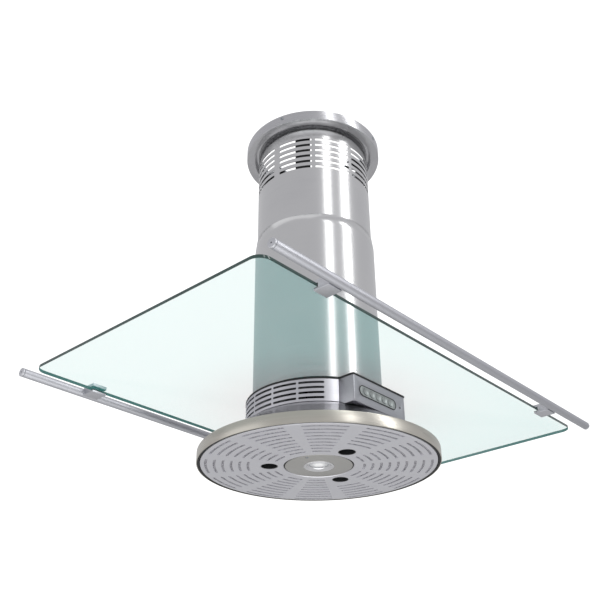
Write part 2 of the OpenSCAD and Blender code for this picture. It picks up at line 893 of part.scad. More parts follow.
module inlet_ring() {
    mouth = 20;
    throat_r = eye_r - 3;
    top = wheel_bottom - 1;
    arc_r = inlet_r - throat_r - 0.4;
    color("#2d3033")
    rotate_extrude()
        polygon(concat([[inlet_r + 12, carrier_top - 1.2], [inlet_r + 12, carrier_top - 0.1],
            [inlet_r - 0.3, carrier_top - 0.1]],
            [for (t = [10:20:90]) [throat_r + 1.2 + arc_r * (1 - sin(t)), carrier_top + mouth * (1 - cos(t))]],
            [[throat_r + 1.2, top], [throat_r, top]],
            [for (t = [90:-20:10]) [throat_r + arc_r * (1 - sin(t)), carrier_top - 1.2 + mouth * (1 - cos(t))]]));
}

module impeller() {
    blade_len = 30;
    blade_lean = 38;
    color("#303336")
    difference() {
        union() {
            tube(wheel_r, eye_r, wheel_bottom, wheel_bottom + 1.5);
            disc(wheel_r, wheel_top - 2, wheel_top);
            disc(hub_r, wheel_top - 20, wheel_top + 12);
            intersection() {
                for (k = [0:blades - 1])
                    rotate(k * 360 / blades)
                        translate([eye_r - 3, 0, wheel_bottom + 0.5])
                            rotate(blade_lean)
                                cube([blade_len + 4, 2, wheel_top - wheel_bottom - 1]);
                tube(wheel_r - 0.5, eye_r - 4, wheel_bottom, wheel_top);
            }
        }
        disc(shaft_r, wheel_bottom - cut, wheel_top + 20);
    }
}

module motor_shaft() {
    color("#c9cbcd")
    disc(shaft_r, wheel_top - 24, motor_top + 4);
}

module fan_motor() {
    color("#6d7174")
    difference() {
        union() {
            disc(motor_r, motor_bottom, motor_top - 8);
            disc(motor_r - 6, motor_bottom, motor_top);
            disc(14, motor_bottom - 5, motor_bottom + cut);
        }
        disc(shaft_r + pin_gap, motor_bottom - 10, motor_top + cut);
    }
}

module motor_mount() {
    arm_end = shell_r - housing_wall - 0.1;
    color("#8b8f93")
    difference() {
        union() {
            disc(motor_r - 4, motor_top, motor_top + mount_t);
            for (k = [0:3])
                rotate(45 + 90 * k) {
                    translate([motor_r - 10, -8, motor_top]) cube([arm_end - motor_r + 9, 16, mount_t]);
                    translate([arm_end - 2.5, -8, motor_top - 14]) cube([2, 16, 14 + mount_t]);
                }
        }
        disc(shaft_r + 6, motor_top - cut, motor_top + mount_t + cut);
    }
}

module outlet_spigot() {
    color("#e6e6e2")
    difference() {
        union() {
            disc(spigot_r, housing_top, spigot_top);
            disc(spigot_r + 12, housing_top, housing_top + spigot_base_t);
        }
        disc(spigot_r - spigot_wall, housing_top - cut, spigot_top + cut);
        rod_x(0, damper_z, damper_pin_r, -spigot_r - cut, spigot_r + cut);
    }
}

module damper_pin() {
    color("#c9cbcd")
    rod_x(0, damper_z, damper_pin_r, -spigot_r + 0.2, spigot_r - 0.2);
}

// one butterfly flap; side is -1 for the front and 1 for the rear
module damper_flap(side) {
    knuckle_len = 14;
    places = side < 0 ? [-50, 0, 50] : [-25, 25];
    difference() {
        union() {
            translate([0, 0, damper_z - flap_t / 2])
                linear_extrude(flap_t)
                    intersection() {
                        circle(flap_r);
                        translate([-flap_r, side < 0 ? -flap_r : 4]) square([2 * flap_r, flap_r - 4]);
                    }
            for (x = places) {
                rod_x(0, damper_z, knuckle_r, x - knuckle_len / 2, x + knuckle_len / 2);
                translate([x - knuckle_len / 2, side < 0 ? -5 : 0, damper_z - flap_t / 2])
                    cube([knuckle_len, 5, flap_t]);
            }
        }
        rod_x(0, damper_z, damper_pin_r + pin_gap, -spigot_r, spigot_r);
    }
}

module damper_flap_front() {
    color("#b9bcbf") damper_flap(-1);
}

module damper_flap_rear() {
    color("#b9bcbf") damper_flap(1);
}

module junction_box() {
    box_z = carrier_top + 85;
    color("#3c3f42")
    rotate(150)
        difference() {
            union() {
                translate([shell_r - 4, -24, box_z]) cube([14, 48, 80]);
                translate([shell_r + 5, 0, box_z + 79]) cylinder(h = 12, r = 4.4);
            }
            disc(shell_r + 0.05, box_z - cut, box_z + 81);
            translate([shell_r + 5, 0, box_z + 70]) cylinder(h = 30, r = 2.6);
        }
}

// ---------------------------------------------------------------- rails and clamps

module rail(y) {
    color("#c6c7ca")
    difference() {
        rod_x(y, glass_mid, rail_r, -rail_len / 2 + cap_t, rail_len / 2 - cap_t);
        rod_x(y, glass_mid, rail_r - rail_wall, -rail_len / 2, rail_len / 2);
    }
}

module front_rail() {
    rail(rail_front_y - rail_out);
}

module rear_rail() {
    rail(rail_rear_y + rail_out);
}

module rail_cap(y, side) {
    end = side * rail_len / 2;
    difference() {
        union() {
            rod_x(y, glass_mid, rail_r, min(end, end - side * cap_t), max(end, end - side * cap_t));
            rod_x(y, glass_mid, rail_r - rail_wall - 0.02, min(end - side, end - side * 14),
                max(end - side, end - side * 14));
        }
        rod_x(y, glass_mid, 1.3, min(end + side, end - side * 3), max(end + side, end - side * 3));
    }
}

module rail_caps() {
    color("#b4b6b9")
    for (side = [-1, 1]) {
        rail_cap(rail_front_y - rail_out, side);
        rail_cap(rail_rear_y + rail_out, side);
    }
}

// puts a clamp's pieces, drawn with +Y pointing out of the glass edge, at one of the four places
module at_clamp(k) {
    x = (k == 1 || k == 3) ? -clamp_x : clamp_x;
    y = k < 3 ? rail_front_y : rail_rear_y;
    translate([x, y, 0]) rotate(k < 3 ? 180 : 0) children();
}

module rail_hollow() {
    rod_x(rail_out, glass_mid, rail_r + 0.02, -clamp_w, clamp_w);
}

module rail_clamp(k) {
    upper = glass_top + pad_t;
    color("#c2c3c6")
    at_clamp(k)
        difference() {
            union() {
                translate([-clamp_w / 2, -clamp_grip, upper])
                    cube([clamp_w, clamp_grip + jaw_out, upper_jaw_t]);
                translate([-clamp_w / 2, 1, glass_bottom - pad_t])
                    cube([clamp_w, jaw_out - 1, upper - glass_bottom + pad_t + 1]);
            }
            rail_hollow();
            translate([0, clamp_screw_y, glass_bottom - 2]) cylinder(h = 30, r = clamp_screw_r);
        }
}

module clamp_jaws() {
    color("#bdbec1")
    for (k = [1:4])
        at_clamp(k)
            difference() {
                translate([-clamp_w / 2, -clamp_grip, glass_bottom - pad_t - jaw_t])
                    cube([clamp_w, clamp_grip + jaw_out, jaw_t]);
                rail_hollow();
                translate([0, clamp_screw_y, glass_bottom - pad_t - jaw_t + 1])
                    cylinder(h = 10, r = clamp_screw_r);
            }
}

module clamp_pads() {
    color("#151617")
    for (k = [1:4])
        at_clamp(k)
            for (z = [glass_bottom - pad_t, glass_top])
                translate([-clamp_w / 2 + 0.3, -clamp_grip + 0.3, z])
                    cube([clamp_w - 0.6, clamp_grip - 0.3, pad_t]);
}

module clamp_screws() {
    head = glass_top + pad_t + upper_jaw_t;
    color("#c9cbcd")
    for (k = [1:4])
        at_clamp(k)
            translate([0, clamp_screw_y, 0])
                difference() {
                    union() {
                        disc(clamp_screw_r, glass_bottom - pad_t - jaw_t + 1.2, head + 1);
                        disc(3.8, head, head + 2.6);
                    }
                    translate([0, 0, head + 1.2]) cylinder(h = 3, r = 1.9, $fn = 6);
                }
}

ceiling_ring();
ceiling_collar();
collar_screws();
ring_screws();
upper_struts();
upper_cover();
lower_struts();
strut_bolts();
lower_cover();
glass_washer();
carrier_ring();
canopy_screws();
glass_canopy();
drum_gasket();
drum_housing();
control_box();
keypad_seal();
keypad_plate();
button(0);  // button_1
button(1);  // button_2
button(2);  // button_3
button(3);  // button_4
button(4);  // button_5
control_board();
status_lens();
disc_cover();
disc_rim();
rim_seal();
filter_plate();
grease_filter();
finger_cups();
catch_studs();
catch_clips();
lamp_bracket();
lamp_cap();
cap_screw();
lamp_bezel();
lamp_lens();
lamp_unit();
blower_housing();
inlet_ring();
impeller();
motor_shaft();
fan_motor();
motor_mount();
outlet_spigot();
damper_pin();
damper_flap_front();
damper_flap_rear();
junction_box();
front_rail();
rear_rail();
rail_caps();
rail_clamp(1);  // rail_clamp_1
rail_clamp(2);  // rail_clamp_2
rail_clamp(3);  // rail_clamp_3
rail_clamp(4);  // rail_clamp_4
clamp_jaws();
clamp_pads();
clamp_screws();
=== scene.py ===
import math

import bpy
from mathutils import Matrix, Vector


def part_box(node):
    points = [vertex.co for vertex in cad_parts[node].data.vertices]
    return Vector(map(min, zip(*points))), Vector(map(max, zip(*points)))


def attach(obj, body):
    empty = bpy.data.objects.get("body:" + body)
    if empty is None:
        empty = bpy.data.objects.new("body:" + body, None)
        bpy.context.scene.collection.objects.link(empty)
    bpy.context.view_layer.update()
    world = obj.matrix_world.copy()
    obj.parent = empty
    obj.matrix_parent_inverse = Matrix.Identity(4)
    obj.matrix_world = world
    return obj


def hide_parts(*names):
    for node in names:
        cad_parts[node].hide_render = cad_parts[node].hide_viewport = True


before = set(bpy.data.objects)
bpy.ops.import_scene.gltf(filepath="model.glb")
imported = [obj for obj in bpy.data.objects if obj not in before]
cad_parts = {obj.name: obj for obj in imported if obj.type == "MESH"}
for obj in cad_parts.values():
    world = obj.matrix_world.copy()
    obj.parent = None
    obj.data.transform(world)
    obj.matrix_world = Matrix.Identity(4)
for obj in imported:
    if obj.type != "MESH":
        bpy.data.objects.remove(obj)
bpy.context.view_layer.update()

MM = 0.001


# ------------------------------------------------------------------ places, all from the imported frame

def low(name):
    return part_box(name)[0]


def high(name):
    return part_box(name)[1]


def middle(name):
    return (low(name) + high(name)) / 2


base = low("filter_plate").z
glass_low, glass_high = low("glass_canopy"), high("glass_canopy")
glass_mid = middle("glass_canopy").z
disc_r = high("disc_rim").x
plate_r = high("filter_plate").x
cap_r = high("lamp_cap").x
cover_r = high("lower_cover").x
upper_r = high("upper_cover").x
collar_r = high("ceiling_collar").x
drum_r = high("drum_housing").x
drum_low, drum_high = low("drum_housing").z, high("drum_housing").z
rim_top = high("disc_rim").z
# the disc's cone runs from its foot inside the rim up to the drum
cone_foot_r, cone_top_r = disc_r - 5 * MM, drum_r - 1 * MM
cone_foot = rim_top - 1.5 * MM


# ------------------------------------------------------------------ materials

def linear(hex_colour):
    """An sRGB hex colour as linear red, green, blue and alpha."""
    parts = [int(hex_colour[i:i + 2], 16) / 255 for i in (1, 3, 5)]
    return tuple(c / 12.92 if c <= 0.04045 else ((c + 0.055) / 1.055) ** 2.4 for c in parts) + (1.0,)


def add(tree, kind, settings=(), links=()):
    """Adds a node, sets its sockets and properties by name, and feeds its inputs from other outputs."""
    made = tree.nodes.new("ShaderNode" + kind)
    for key, value in dict(settings).items():
        if isinstance(key, int) or key in made.inputs:
            made.inputs[key].default_value = value
        else:
            setattr(made, key, value)
    for key, source in dict(links).items():
        tree.links.new(source, made.inputs[key])
    return made


def blank(name):
    """A material with nothing in it but its output, and its node tree."""
    made = bpy.data.materials.new(name)
    made.use_nodes = True
    made.node_tree.nodes.clear()
    return made, made.node_tree


def worked_metal(name, colour, shade, roughness, grain, spread=0.07, depth=0.05, cloud=12.0):
    """Metal whose surface was brushed or drawn: fine lines across the grain vector's large axes.

    grain and cloud count cells per metre. spread is how far roughness varies, depth is the bump's strength.
    """
    made, tree = blank(name)
    place = add(tree, "TexCoord")
    lines_at = add(tree, "Mapping", {"Scale": grain}, {"Vector": place.outputs["Object"]})
    lines = add(tree, "TexNoise", {"Scale": 1.0, "Detail": 3.0, "Roughness": 0.65},
                {"Vector": lines_at.outputs[0]})
    patches = add(tree, "TexNoise", {"Scale": cloud, "Detail": 2.0}, {"Vector": place.outputs["Object"]})
    both = add(tree, "Math", {"operation": "ADD"}, {0: lines.outputs[0], 1: patches.outputs[0]})
    tone = add(tree, "MapRange", {"From Min": 0.6, "From Max": 1.4}, {"Value": both.outputs[0]})
    tint = add(tree, "MixRGB", {"Color1": linear(shade), "Color2": linear(colour)},
               {"Fac": tone.outputs[0]})
    rough = add(tree, "MapRange", {"From Min": 0.6, "From Max": 1.4, "To Min": roughness + spread,
                                   "To Max": roughness - spread}, {"Value": both.outputs[0]})
    bump = add(tree, "Bump", {"Strength": depth, "Distance": 0.4 * MM}, {"Height": lines.outputs[0]})
    skin = add(tree, "BsdfPrincipled", {"Metallic": 1.0},
               {"Base Color": tint.outputs[0], "Roughness": rough.outputs[0], "Normal": bump.outputs[0]})
    add(tree, "OutputMaterial", (), {"Surface": skin.outputs[0]})
    return made


def moulded(name, colour, shade, roughness, grit=900.0, depth=0.12, coat=0.0):
    """A plastic, rubber or paint with a fine even texture, grit cells per metre, left by mould or spray."""
    made, tree = blank(name)
    place = add(tree, "TexCoord")
    fine = add(tree, "TexNoise", {"Scale": grit, "Detail": 2.0}, {"Vector": place.outputs["Object"]})
    wide = add(tree, "TexNoise", {"Scale": 25.0, "Detail": 3.0}, {"Vector": place.outputs["Object"]})
    tint = add(tree, "MixRGB", {"Color1": linear(colour), "Color2": linear(shade)},
               {"Fac": wide.outputs[0]})
    rough = add(tree, "MapRange", {"From Min": 0.3, "From Max": 0.7, "To Min": roughness - 0.06,
                                   "To Max": roughness + 0.06}, {"Value": wide.outputs[0]})
    bump = add(tree, "Bump", {"Strength": depth, "Distance": 0.3 * MM}, {"Height": fine.outputs[0]})
    skin = add(tree, "BsdfPrincipled", {"Coat Weight": coat, "Coat Roughness": 0.08, "IOR": 1.5},
               {"Base Color": tint.outputs[0], "Roughness": rough.outputs[0], "Normal": bump.outputs[0]})
    add(tree, "OutputMaterial", (), {"Surface": skin.outputs[0]})
    return made


def float_glass():
    """Toughened float glass with polished edges: almost clear through its face, deep green along its edge."""
    made, tree = blank("toughened_float_glass")
    shape = add(tree, "NewGeometry")
    turned_to = add(tree, "SeparateXYZ", (), {0: shape.outputs["Normal"]})
    flat = add(tree, "Math", {"operation": "ABSOLUTE"}, {0: turned_to.outputs["Z"]})
    face = add(tree, "Math", {"operation": "GREATER_THAN", 1: 0.6}, {0: flat.outputs[0]})
    # the iron in the glass tints what is behind it, and each face mirrors a little more at a slant
    clear = add(tree, "BsdfTransparent", {"Color": (0.925, 0.900, 0.900, 1.0)})
    gloss = add(tree, "BsdfPrincipled", {"Base Color": linear("#7ff8f0"), "Roughness": 0.03, "IOR": 1.5})
    slant = add(tree, "LayerWeight", {"Blend": 0.5})
    sheen = add(tree, "Math", {"operation": "POWER", 1: 4.0}, {0: slant.outputs["Facing"]})
    weaker = add(tree, "Math", {"operation": "MULTIPLY_ADD", 1: 0.3, 2: 0.085}, {0: sheen.outputs[0]})
    pane = add(tree, "MixShader", (), {0: weaker.outputs[0], 1: clear.outputs[0], 2: gloss.outputs[0]})
    # the edge looks through the pane's whole width of green glass
    place = add(tree, "TexCoord")
    streaks = add(tree, "TexNoise", {"Scale": 40.0, "Detail": 2.0}, {"Vector": place.outputs["Object"]})
    depth = add(tree, "MixRGB", {"Color1": linear("#16302c"), "Color2": linear("#2b4a45")},
                {"Fac": streaks.outputs[0]})
    edge = add(tree, "BsdfPrincipled", {"Roughness": 0.12, "IOR": 1.5, "Coat Weight": 0.4,
                                        "Coat Roughness": 0.03}, {"Base Color": depth.outputs[0]})
    whole = add(tree, "MixShader", (), {0: face.outputs[0], 1: edge.outputs[0], 2: pane.outputs[0]})
    # lamps and reflections reach through it undimmed
    path = add(tree, "LightPath")
    beyond = add(tree, "Math", {"operation": "MAXIMUM"}, {0: path.outputs["Is Shadow Ray"],
                                                          1: path.outputs["Is Glossy Ray"]})
    through = add(tree, "BsdfTransparent", {"Color": (0.97, 0.99, 0.985, 1.0)})
    seen = add(tree, "MixShader", (), {0: beyond.outputs[0], 1: whole.outputs[0], 2: through.outputs[0]})
    add(tree, "OutputMaterial", (), {"Surface": seen.outputs[0]})
    return made


def layered_mesh():
    """Expanded aluminium mesh in layers: dull silver wire round small diamond cells, whose openings are
    painted dark as the shade of the layers behind.
    """
    made, tree = blank("layered_aluminium_mesh")
    place = add(tree, "TexCoord")
    # 330 cells per metre are diamonds 3 mm wide
    slanted = add(tree, "Mapping", {"Rotation": (0, 0, math.radians(45)), "Scale": (1.0, 0.6, 1.0)},
                 {"Vector": place.outputs["Object"]})
    cells = add(tree, "TexVoronoi", {"Scale": 330.0, "feature": "DISTANCE_TO_EDGE"},
                {"Vector": slanted.outputs[0]})
    wire = add(tree, "MapRange", {"From Min": 0.04, "From Max": 0.22, "To Min": 1.0, "To Max": 0.0},
               {"Value": cells.outputs[0]})
    # painted shade: the middle of each cell is dark grey, for the shaded layers seen through the opening; the
    # wire near the cell edges is dull silver
    tint = add(tree, "MixRGB", {"Color1": linear("#5d5c62"), "Color2": linear("#b9b8be")},
               {"Fac": wire.outputs[0]})
    bump = add(tree, "Bump", {"Strength": 0.8, "Distance": 1.0 * MM}, {"Height": wire.outputs[0]})
    skin = add(tree, "BsdfPrincipled", {"Metallic": 0.35, "Roughness": 0.5},
               {"Base Color": tint.outputs[0], "Normal": bump.outputs[0]})
    add(tree, "OutputMaterial", (), {"Surface": skin.outputs[0]})
    return made


def frosted_lens():
    """Pressed lamp glass, frosted inside: milky grey, with a painted highlight that whitens its middle, and a
    glossy face.
    """
    made, tree = blank("frosted_lamp_glass")
    place = add(tree, "TexCoord")
    # the pressed face ripples every 2.4 mm
    ripple = add(tree, "TexVoronoi", {"Scale": 420.0}, {"Vector": place.outputs["Object"]})
    bump = add(tree, "Bump", {"Strength": 0.15, "Distance": 0.6 * MM}, {"Height": ripple.outputs[0]})
    flat = add(tree, "Mapping", {"Scale": (1.0, 1.0, 0.0)}, {"Vector": place.outputs["Object"]})
    away = add(tree, "VectorMath", {"operation": "LENGTH"}, {0: flat.outputs[0]})
    # painted highlight: the middle 6 mm round is painted near white and fades to grey by 15 mm out
    painted_highlight_falloff = add(tree, "MapRange", {"From Min": 6 * MM, "From Max": 15 * MM}, {"Value": away.outputs["Value"]})
    tint = add(tree, "MixRGB", {"Color1": linear("#fbfbfb"), "Color2": linear("#a9abae")},
               {"Fac": painted_highlight_falloff.outputs[0]})
    skin = add(tree, "BsdfPrincipled", {"Roughness": 0.22, "IOR": 1.5, "Coat Weight": 0.6,
                                        "Coat Roughness": 0.05},
               {"Base Color": tint.outputs[0], "Normal": bump.outputs[0]})
    add(tree, "OutputMaterial", (), {"Surface": skin.outputs[0]})
    return made


# Lines of a real brushed sheet are 0.1 mm apart, too fine to show, so they are drawn 1 to 2 mm apart.
# A grain counts cells per metre: 900 is a line every 1.1 mm, 520 one every 1.9 mm, and 5 is 200 mm long.
# The same number three times is an even speckle, as blasting, casting or zinc crystals leave it.
AROUND = (5.0, 5.0, 900.0)
ALONG_X = (9.0, 520.0, 520.0)

# brushed stainless tube: soft grey with long highlights down it and a faint line round it
tube_steel = worked_metal("brushed_stainless_tube", "#d4d4d4", "#cccccd", 0.215, AROUND, 0.02, 0.012)
# the collar is spun from the same sheet and brushed round
collar_steel = worked_metal("spun_stainless_collar", "#cbcbcd", "#bababd", 0.27, AROUND, 0.04, 0.03)
# the drum is rolled sheet, a little cooler, with a mauve tint painted into its colour as the reflection of
# what it faces
drum_steel = worked_metal("rolled_stainless_drum", "#d6d3d8", "#c8c5cb", 0.31, AROUND, 0.03, 0.015)
# the cone is bright-rolled and mirrors the drum
cone_steel = worked_metal("bright_rolled_stainless", "#c9c8cc", "#bbbabe", 0.17, AROUND, 0.03, 0.015)
# the rim's steel is warmer, champagne grey, brushed round
rim_steel = worked_metal("brushed_rim_stainless", "#cac7be", "#bcb8ae", 0.30, AROUND, 0.04, 0.03)
# the filter plate is pierced sheet with a fine satin that hides fingerprints
plate_steel = worked_metal("satin_pierced_stainless", "#dfdfe3", "#d5d5da", 0.44, ALONG_X, 0.05, 0.015)
# the lamp cap is pressed from a warmer sheet
cap_steel = worked_metal("pressed_satin_stainless", "#bebdb9", "#b0afab", 0.34, ALONG_X, 0.05, 0.015)
# the control box is folded satin sheet, its lines run sideways
box_steel = worked_metal("folded_satin_stainless", "#b9b9be", "#acacb1", 0.38, ALONG_X)
# keys and their plate are fine-blasted steel
key_steel = worked_metal("blasted_key_steel", "#b4b8b7", "#a2a6a5", 0.46, (700.0, 700.0, 700.0), depth=0.06)
# extruded aluminium, satin anodised: pearly, with faint lines along the bar
rail_metal = worked_metal("satin_anodised_aluminium", "#c1c2c7", "#b7b8bd", 0.46, ALONG_X, depth=0.02)
# die-cast clamp bodies with the same anodised look, a little rougher
clamp_metal = worked_metal("cast_satin_aluminium", "#cfd0d4", "#bcbdc2", 0.42, (500.0, 500.0, 500.0))
# polished chrome: a dark and bright ring round the lens
chrome = worked_metal("polished_chrome_trim", "#e2e2e4", "#d6d6d8", 0.07, AROUND, spread=0.02, depth=0.01)
# zinc-plated steel screws: cool and slightly cloudy
zinc = worked_metal("zinc_plated_steel", "#c0c4c8", "#9fa4a9", 0.30, (300.0, 300.0, 300.0), cloud=160.0)
# galvanised sheet inside, with its large spangle
galvanised = worked_metal("galvanised_sheet", "#dfe1e3", "#c3c6c9", 0.42, (90.0, 90.0, 90.0), cloud=70.0)
# heat-blued spring strip: dark, cool and a little glossy
spring_metal = worked_metal("blued_spring_steel", "#4a4d52", "#3a3d41", 0.32, (300.0, 300.0, 300.0))
# flaps as they leave the rolling mill: light grey with faint lines one way
flap_metal = worked_metal("mill_aluminium_flap", "#c2c4c6", "#aeb0b3", 0.34, ALONG_X)
# the lamp unit's cast body: grainy and duller than sheet
lamp_metal = worked_metal("cast_lamp_aluminium", "#b2b4b6", "#9a9ca0", 0.40, (400.0, 400.0, 400.0))
# powder coat on the frame: nearly black, half matt, with a very fine peel
black_paint = moulded("black_powder_coat", "#17181a", "#222326", 0.48, grit=1400.0)
# gaskets, pads and outlines: the darkest and dullest of the blacks
rubber = moulded("black_epdm_rubber", "#0c0d0e", "#151617", 0.62, grit=700.0)
# finger cups, impeller and junction box: smooth black with a soft gloss
black_plastic = moulded("black_moulded_abs", "#121314", "#1c1d1f", 0.36, grit=1100.0)
# the motor's dipped enamel: even mid grey
grey_enamel = moulded("grey_motor_enamel", "#666b70", "#585d62", 0.45)
# the duct spigot: a warm white, slightly waxy
white_plastic = moulded("white_moulded_polypropylene", "#e6e6e2", "#dadad5", 0.40)
# the circuit board: green lacquer under a clear gloss
board_lacquer = moulded("green_board_lacquer", "#17663a", "#125530", 0.35, coat=0.5)
# the status eye: deep smoke, as glossy as glass
smoked = moulded("smoked_gloss_acrylic", "#131417", "#0c0d10", 0.08, depth=0.0, coat=0.8)
# the canopy, the grease filter and the lamp's lens
glass = float_glass()
mesh_metal = layered_mesh()
lens_glass = frosted_lens()


# ------------------------------------------------------------------ modelling by hand tools

def deselect():
    """Leaves edit mode and selects nothing."""
    if bpy.context.object and bpy.context.object.mode != "OBJECT":
        bpy.ops.object.mode_set(mode="OBJECT")
    bpy.ops.object.select_all(action="DESELECT")


def edit(mode="VERT"):
    """Opens the piece in use for shaping by its vertices, edges or faces."""
    bpy.ops.object.mode_set(mode="EDIT")
    bpy.ops.mesh.select_mode(type=mode)


def done():
    """Closes edit mode."""
    bpy.ops.object.mode_set(mode="OBJECT")


def use(piece):
    """Makes a piece the only one that the next operators act on."""
    deselect()
    piece.select_set(True)
    bpy.context.view_layer.objects.active = piece


def settle(piece):
    """Puts a piece's place, turn and size into its mesh."""
    use(piece)
    bpy.ops.object.transform_apply(location=True, rotation=True, scale=True)
    return piece


def pick(piece, kind, test):
    """Selects the vertices, edges or faces whose middle passes the test, in edit mode."""
    bpy.ops.mesh.select_mode(type=kind)
    bpy.ops.mesh.select_all(action="DESELECT")
    done()
    mesh = piece.data
    if kind == "VERT":
        for v in mesh.vertices:
            v.select = test(v.co)
    elif kind == "EDGE":
        for e in mesh.edges:
            a, b = (mesh.vertices[i].co for i in e.vertices)
            e.select = test((a + b) / 2, b - a)
    else:
        for f in mesh.polygons:
            f.select = test(f.center, f.normal)
    edit(kind)


def modify(piece, kind, **settings):
    """Adds a modifier, sets it and applies it."""
    use(piece)
    added = piece.modifiers.new(kind, kind)
    for key, value in settings.items():
        setattr(added, key, value)
    bpy.ops.object.modifier_apply(modifier=added.name)
    return piece


def round_edges(piece, width, segments=2, angle=35):
    """Rounds every edge that is sharper than the angle."""
    return modify(piece, "BEVEL", width=width, segments=segments, limit_method="ANGLE",
                  angle_limit=math.radians(angle), harden_normals=False)


def cut_away(piece, *cutters):
    """Takes the cutters' shapes out of a piece and throws the cutters away."""
    for cutter in cutters:
        modify(piece, "BOOLEAN", object=cutter, operation="DIFFERENCE", solver="EXACT")
        bpy.data.objects.remove(cutter)
    return piece


def turned(name, chain, steps=((360, 160),), start=0.0, ring=True):
    """Turns a profile of (radius, height) points about the column's axis, as on a lathe."""
    deselect()
    bpy.ops.mesh.primitive_plane_add(size=MM, location=(0, 0, 0))
    piece = bpy.context.object
    piece.name = name
    edit()
    bpy.ops.mesh.select_all(action="SELECT")
    bpy.ops.mesh.merge(type="CENTER")
    a = math.radians(start)
    points = [Vector((r * math.cos(a), r * math.sin(a), z)) for r, z in chain]
    bpy.ops.mesh.select_all(action="SELECT")
    bpy.ops.transform.translate(value=points[0])
    for here, there in zip(points, points[1:] + (points[:1] if ring else [])):
        bpy.ops.mesh.extrude_vertices_move(TRANSFORM_OT_translate={"value": there - here})
    bpy.ops.mesh.select_all(action="SELECT")
    bpy.ops.mesh.remove_doubles(threshold=1e-6)
    bpy.ops.mesh.select_all(action="SELECT")
    for angle, count in steps:
        bpy.ops.mesh.spin(steps=count, angle=-math.radians(angle), center=(0, 0, 0), axis=(0, 0, 1))
    bpy.ops.mesh.select_all(action="SELECT")
    bpy.ops.mesh.remove_doubles(threshold=1e-6)
    bpy.ops.mesh.normals_make_consistent(inside=False)
    done()
    return piece


def block(name, lo, hi, edge=0.0, segments=2):
    """A rectangular bar with softened edges."""
    deselect()
    lo, hi = Vector(lo), Vector(hi)
    bpy.ops.mesh.primitive_cube_add(size=1.0, location=(lo + hi) / 2, scale=hi - lo)
    piece = settle(bpy.context.object)
    piece.name = name
    if edge:
        round_edges(piece, edge, segments)
    return piece


def rod(name, start, end, radius, sides=48, edge=0.0):
    """A round bar from one point to another along X, Y or Z."""
    deselect()
    start, end = Vector(start), Vector(end)
    along = end - start
    turn = along.to_track_quat("Z", "Y").to_euler()
    bpy.ops.mesh.primitive_cylinder_add(vertices=sides, radius=radius, depth=along.length,
                                        location=(start + end) / 2, rotation=turn)
    piece = settle(bpy.context.object)
    piece.name = name
    if edge:
        round_edges(piece, edge, 3, 50)
    return piece


def stadium(name, middle_x, middle_z, width, height, y0, y1):
    """A bar with round ends, seen from the front."""
    piece = block(name, (middle_x - width / 2, y0, middle_z - height / 2),
                  (middle_x + width / 2, y1, middle_z + height / 2))
    use(piece)
    edit()
    pick(piece, "EDGE", lambda at, run: abs(run.y) > 0.9 * run.length)
    bpy.ops.mesh.bevel(offset=height / 2 - 0.01 * MM, segments=12, affect="EDGES")
    done()
    return piece


def joined(name, pieces):
    """Several pieces as one, under one name."""
    deselect()
    for p in pieces:
        p.select_set(True)
    bpy.context.view_layer.objects.active = pieces[0]
    bpy.ops.object.join()
    pieces[0].name = name
    return pieces[0]


def copy_turned(piece, angle):
    """A copy with its own mesh, turned about the column's axis."""
    use(piece)
    bpy.ops.object.duplicate()
    copy = bpy.context.object
    copy.matrix_world = Matrix.Rotation(math.radians(angle), 4, "Z") @ copy.matrix_world
    return settle(copy)


def finish(piece, material, body, nodes, smooth=30):
    """Gives a piece its material, unless it has its own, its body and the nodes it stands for."""
    settle(piece)
    bpy.ops.object.shade_smooth_by_angle(angle=math.radians(smooth))
    if material:
        piece.data.materials.clear()
        piece.data.materials.append(material)
    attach(piece, body)
    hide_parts(*nodes)


def azimuth(point):
    """The angle about the column's axis, from 0 to 360 degrees."""
    return math.degrees(math.atan2(point.y, point.x)) % 360


def pierced(piece, rows, spans, by_height, corner):
    """Opens slots with rounded corners in a sheet.

    rows are (low, high) in height or radius, and spans gives the (from, to) angles of the slots there.
    """
    def value(at):
        return at.z if by_height else math.hypot(at.x, at.y)

    def inside(at, _):
        v, a = value(at), azimuth(at)
        if not any(r[0] < v < r[1] for r in rows):
            return False
        return any((a - s[0]) % 360 < s[1] - s[0] for s in spans(v))
    use(piece)
    edit()
    pick(piece, "FACE", inside)
    bpy.ops.mesh.delete(type="FACE")

    def at_corner(co):
        v, a = value(co), azimuth(co)
        if not any(min(abs(v - r[0]), abs(v - r[1])) < 0.02 * MM for r in rows):
            return False
        return any(min(abs((a - e + 180) % 360 - 180) for e in s) < 0.02 for s in spans(v))
    pick(piece, "VERT", at_corner)
    bpy.ops.mesh.bevel(offset=corner, segments=4, affect="VERTICES")
    bpy.ops.mesh.select_all(action="SELECT")
    bpy.ops.mesh.normals_make_consistent(inside=False)
    done()


def facing(piece, outward):
    """Turns an open sheet's faces so that they look the way that outward says."""
    total = sum(f.area * f.normal.dot(outward(f.center)) for f in piece.data.polygons)
    if total < 0:
        use(piece)
        edit()
        bpy.ops.mesh.select_all(action="SELECT")
        bpy.ops.mesh.flip_normals()
        done()


def outwards(at):
    """The way away from the column's axis."""
    return Vector((at.x, at.y, 0)).normalized()


# ------------------------------------------------------------------ ceiling collar and column

